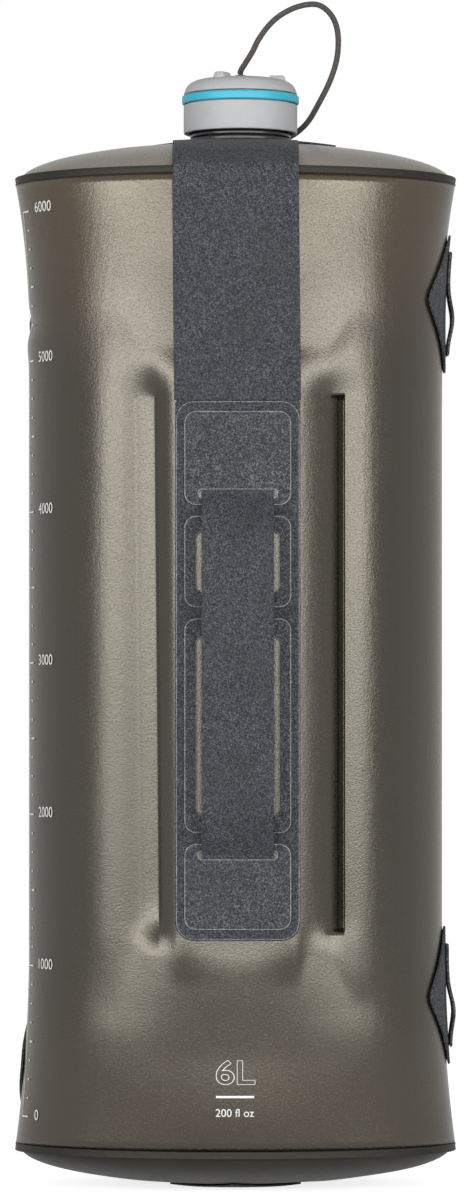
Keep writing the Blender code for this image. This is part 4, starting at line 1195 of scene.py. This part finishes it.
def make_cap_dome():
    """The cap's grip: a low dome with a shouldered edge and three tapered lugs."""
    height, radius, wall, lug_height = 0.0068, 0.02275, 0.0018, 0.0036
    crown = (
        (0.16, 0.992), (0.30, 0.975), (0.44, 0.950), (0.60, 0.905), (0.73, 0.840), (0.82, 0.760),
        (0.89, 0.640), (0.94, 0.490), (0.975, 0.290), (0.995, 0.090), (1.0, 0.0),
    )
    top = DOME_Z + height
    profile = [(0.0025, top)] + [(radius * r, DOME_Z + height * h) for r, h in crown]
    profile += [(radius - wall, DOME_Z), (radius * 0.80, DOME_Z + height * 0.5), (0.0025, top - wall)]
    dome = turned("cap_dome_grey", profile, 128, CAP_PLASTIC)
    rides(dome, "cap", "cap_grey", "cap_dome")
    foot = math.sqrt(0.5)
    for i in range(3):
        body = bmesh.new()
        bmesh.ops.create_cone(
            body, cap_ends=True, segments=4, radius1=foot, radius2=foot * 0.72, depth=lug_height
        )
        rotate(body, 45)
        bmesh.ops.scale(body, vec=(0.0080, 0.0056, 1.0), verts=body.verts)
        round_off(body, [e for e in body.edges if any(v.co.z > 0 for v in e.verts)], 0.0006, 3)
        shift(body, 0.0146, 0, top + 0.0009 - 0.0018)
        rotate(body, 120 * i)
        shift(body, NECK_X)
        lug = make_piece(f"cap_lug_{i + 1}", body, CAP_PLASTIC)
        rides(lug, "cap", "cap_grey")


def make_swivel():
    profile = [(0.0, 0.4462), (0.0018, 0.44615), (0.0027, 0.4458), (0.0032, 0.4454), (0.0032, 0.4453)]
    profile += [(0.0022, 0.4453), (0.0022, 0.4393), (0.0040, 0.4393), (0.0040, 0.4385), (0.0, 0.4385)]
    swivel = turned("tether_swivel_button", profile, 48, NECK_PLASTIC)
    rides(swivel, "cap_swivel", "neck_black", "tether_swivel")


def smooth_route(points, count):
    """Points along a curve through the given points."""
    made = []
    last = len(points) - 1
    for step in range(count + 1):
        at = step / count * last
        i = min(int(at), last - 1)
        t = at - i
        a, b, c, d = (Vector(points[min(max(k, 0), last)]) for k in (i - 1, i, i + 1, i + 2))
        spot = 2 * b + (c - a) * t + (2 * a - 5 * b + 4 * c - d) * t**2 + (3 * b - a - 3 * c + d) * t**3
        made.append(spot * 0.5)
    return made


def make_tether():
    route = smooth_route(TETHER_ROUTE, 150)
    last = len(route) - 1
    aside = Vector((0.0, 1.0, 0.0))
    frames = []
    for i, spot in enumerate(route):
        heading = (route[min(i + 1, last)] - route[max(i - 1, 0)]).normalized()
        first = aside.cross(heading).normalized()
        frames.append((spot, first, heading.cross(first)))

    def place(across, up):
        spot, first, second = frames[round(up * last)]
        x, y = circle(2 * math.pi * across, 1.0)
        return spot + (first * x + second * y) * TETHER_RADIUS

    body = sheet(24, last, place, closed=True)
    bmesh.ops.holes_fill(body, edges=[edge for edge in body.edges if edge.is_boundary], sides=0)
    face_out(body)
    cord = make_piece("tether_braid", body, CORD_MATERIAL)
    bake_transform(cord)
    dress(cord, "cord", "tether_cord")
    path_length(route)


# Printed marks


def flat_letters(words, height, outlined=False):
    """The letters as a flat mesh, their lower left corner at 0 and their height as given."""
    curve = bpy.data.curves.new("letters", "FONT")
    curve.body, curve.size, curve.resolution_u = words, 1.0, 4
    curve.offset = 0.026 if outlined else 0.0
    holder = add_object("letters", curve)
    mesh = settled_mesh(holder)
    bpy.data.objects.remove(holder, do_unlink=True)
    body = bmesh.new()
    body.from_mesh(mesh)
    bmesh.ops.remove_doubles(body, verts=body.verts, dist=0.0001)
    if outlined:
        bmesh.ops.inset_region(
            body, faces=body.faces, thickness=0.019, use_even_offset=False, use_boundary=True
        )
        inner = [face for face in body.faces if not any(edge.is_boundary for edge in face.edges)]
        bmesh.ops.delete(body, geom=inner, context="FACES")
    low_x, low_y = (min(vert.co[axis] for vert in body.verts) for axis in (0, 1))
    share = height / (max(vert.co.y for vert in body.verts) - low_y)
    shift(body, -low_x, -low_y)
    bmesh.ops.scale(body, vec=(share, share, 1), verts=body.verts)
    return body


def lobe_spot(arc, z):
    """A point on the left lobe, at that arc length from the side line of the bag's middle."""
    half_width = half_sizes(z)[0]
    angle = math.pi / 2 - (arc + half_width - MIDDLE_HALF_WIDTH) / LOBE_RADIUS
    grown = half_width / MIDDLE_HALF_WIDTH
    x = -(LOBE_X + LOBE_RADIUS * math.sin(angle)) * grown
    return print_spot(max(x, -half_width * 0.9996), z)


def print_piece(name, body):
    marks = make_piece(name, body, PRINT_WHITE)
    aim(marks, 0, -1, 0)
    flattens(marks)


def merge_into(body, other):
    mesh = bpy.data.meshes.new("part")
    other.to_mesh(mesh)
    other.free()
    body.from_mesh(mesh)
    bpy.data.meshes.remove(mesh)


# Each line of the scale: its row in the photograph and its millilitres
SCALE_LINES = ((209, 6000), (359, 5000), (511, 4000), (662.6, 3000), (815, 2000), (967, 1000), (1118.6, 0))


def make_scale():
    """The capacity scale up the left side: a thin line, ticks at each litre, dots between, and numbers."""
    marks = bmesh.new()
    line_arc, dot_arc, digit_arc = 0.0094, 0.0136, 0.0222

    def row_z(row):
        return EYE_Z + (EYE_ROW - row) * SIDE_PIXEL

    def strip(columns, rows, place):
        merge_into(marks, sheet(columns, rows, place))

    top, bottom = row_z(SCALE_LINES[0][0]), row_z(SCALE_LINES[-1][0])
    for row, number in SCALE_LINES:
        z = row_z(row)
        strip(8, 1, lambda a, u, z=z: lobe_spot(line_arc + 0.0070 * a, z + 0.0006 * (u - 0.5)))
        digits = flat_letters(str(number), 0.0042)
        share = 0.0027 * len(str(number)) / max(vert.co.x for vert in digits.verts)
        for vert in digits.verts:
            vert.co = lobe_spot(digit_arc + vert.co.x * share, z - 0.0010 + vert.co.y)
        merge_into(marks, digits)
        if number == 0:
            continue
        below = row_z(row + 152)
        for step in range(1, 8):
            dot_z = between(z, below, step / 8)
            length = 0.0036 if step == 4 else 0.0016
            strip(3, 1, lambda a, u, z=dot_z, n=length: lobe_spot(dot_arc + n * a, z + 0.0007 * (u - 0.5)))
    strip(1, 120, lambda a, u: lobe_spot(line_arc - 0.0005 * a, between(bottom, top, u)))
    print_piece("capacity_scale", marks)


def make_capacity():
    """The capacity on the front of the base, outlined, with its line and its second measure."""
    marks = bmesh.new()

    def spot_at(column, row):
        return (column - EYE_COLUMN) * FRONT_PIXEL, EYE_Z + (EYE_ROW - row) * FRONT_PIXEL

    for words, left, right, low, high in (
        ("6L", 215.8, 255.3, 1085, 1059.8),
        ("200 fl oz", 215.7, 254, 1117, 1109),
    ):
        letters = flat_letters(words, (low - high) * FRONT_PIXEL, outlined=words == "6L")
        stretch = (right - left) * FRONT_PIXEL / max(vert.co.x for vert in letters.verts)
        x, z = spot_at(left, low)
        for vert in letters.verts:
            vert.co = print_spot(x + vert.co.x * stretch, z + vert.co.y)
        merge_into(marks, letters)
    (left, z), (right, _) = spot_at(216, 1097), spot_at(254, 1097)
    line = sheet(20, 1, lambda a, u: print_spot(between(left, right, a), z + 0.0009 * (u - 0.5)))
    merge_into(marks, line)
    print_piece("capacity_print", marks)


# Stage


def rays_seen(tree, gloss):
    """1 for the camera and through glass, the given share in a gloss, and 0 for the light on the object."""
    rays = add_node(tree, "ShaderNodeLightPath").outputs
    seen = math_node(tree, "MAXIMUM", rays["Is Camera Ray"], rays["Is Transmission Ray"])
    return math_node(tree, "MAXIMUM", seen, math_node(tree, "MULTIPLY", rays["Is Glossy Ray"], gloss))


def make_stage():
    body = bmesh.new()
    bmesh.ops.create_grid(body, x_segments=1, y_segments=1, size=6.0)
    shift(body, z=-0.0002)
    floor_material, tree, inputs = new_material(
        "pale_floor", Roughness=0.9, Base_Color=(0.90, 0.90, 0.90, 1), Emission_Color=(1, 1, 1, 1)
    )
    tree.links.new(math_node(tree, "MULTIPLY", rays_seen(tree, 0.5), 0.78), inputs["Emission Strength"])
    make_piece("floor", body, floor_material)

    world = bpy.data.worlds.new("studio")
    bpy.context.scene.world = world
    world.use_nodes = True
    tree = world.node_tree
    background = tree.nodes["Background"].inputs
    tree.links.new(ramp(tree, rays_seen(tree, 0.65), 0.0, 1.0, 0.2, 1.0), background["Strength"])
    background["Color"].default_value = (1, 1, 1, 1)


def add_softbox(name, turn, width, power):
    """A softbox that far round the object in degrees, aimed at its middle."""
    away, turn = 3.0, math.radians(turn)
    lamp = bpy.data.lights.new(name, "AREA")
    lamp.shape = "RECTANGLE"
    lamp.size, lamp.size_y = width, 0.9
    lamp.energy = power
    holder = add_object(name, lamp)
    holder.location = (away * math.sin(turn), -away * math.cos(turn), 0.62)
    heading = Vector((0, 0, 0.22)) - holder.location
    holder.rotation_euler = heading.to_track_quat("-Z", "Y").to_euler()


make_tether()
make_wrap()
make_webs()
make_end_panels()
make_weld_band("top_weld_band", "top_weld_rim", BAG_TOP_Z, True)
make_weld_band("bottom_weld_band", "bottom_weld_rim", BAG_BASE_Z - RIM_HEIGHT, False)
make_strap()
make_neck_patch()
make_side_tab("right_upper", 1, 0.354, 0.0)
make_side_tab("right_lower", 1, 0.0765, 0.0)
make_side_tab("left_upper", -1, 0.346, -0.038)
make_side_tab("left_lower", -1, 0.0485, -0.024)
make_bottom_tab()
make_handle()
make_band()
make_neck()
make_collar()
make_cap()
make_cap_dome()
make_swivel()
make_scale()
make_capacity()
make_stage()
add_softbox("left_softbox", -39.5, 2.0, 32.5)
add_softbox("middle_softbox", 0.0, 1.9, 31.0)
add_softbox("right_softbox", 37.5, 1.9, 31.0)
bpy.context.scene.view_settings.view_transform = "Standard"
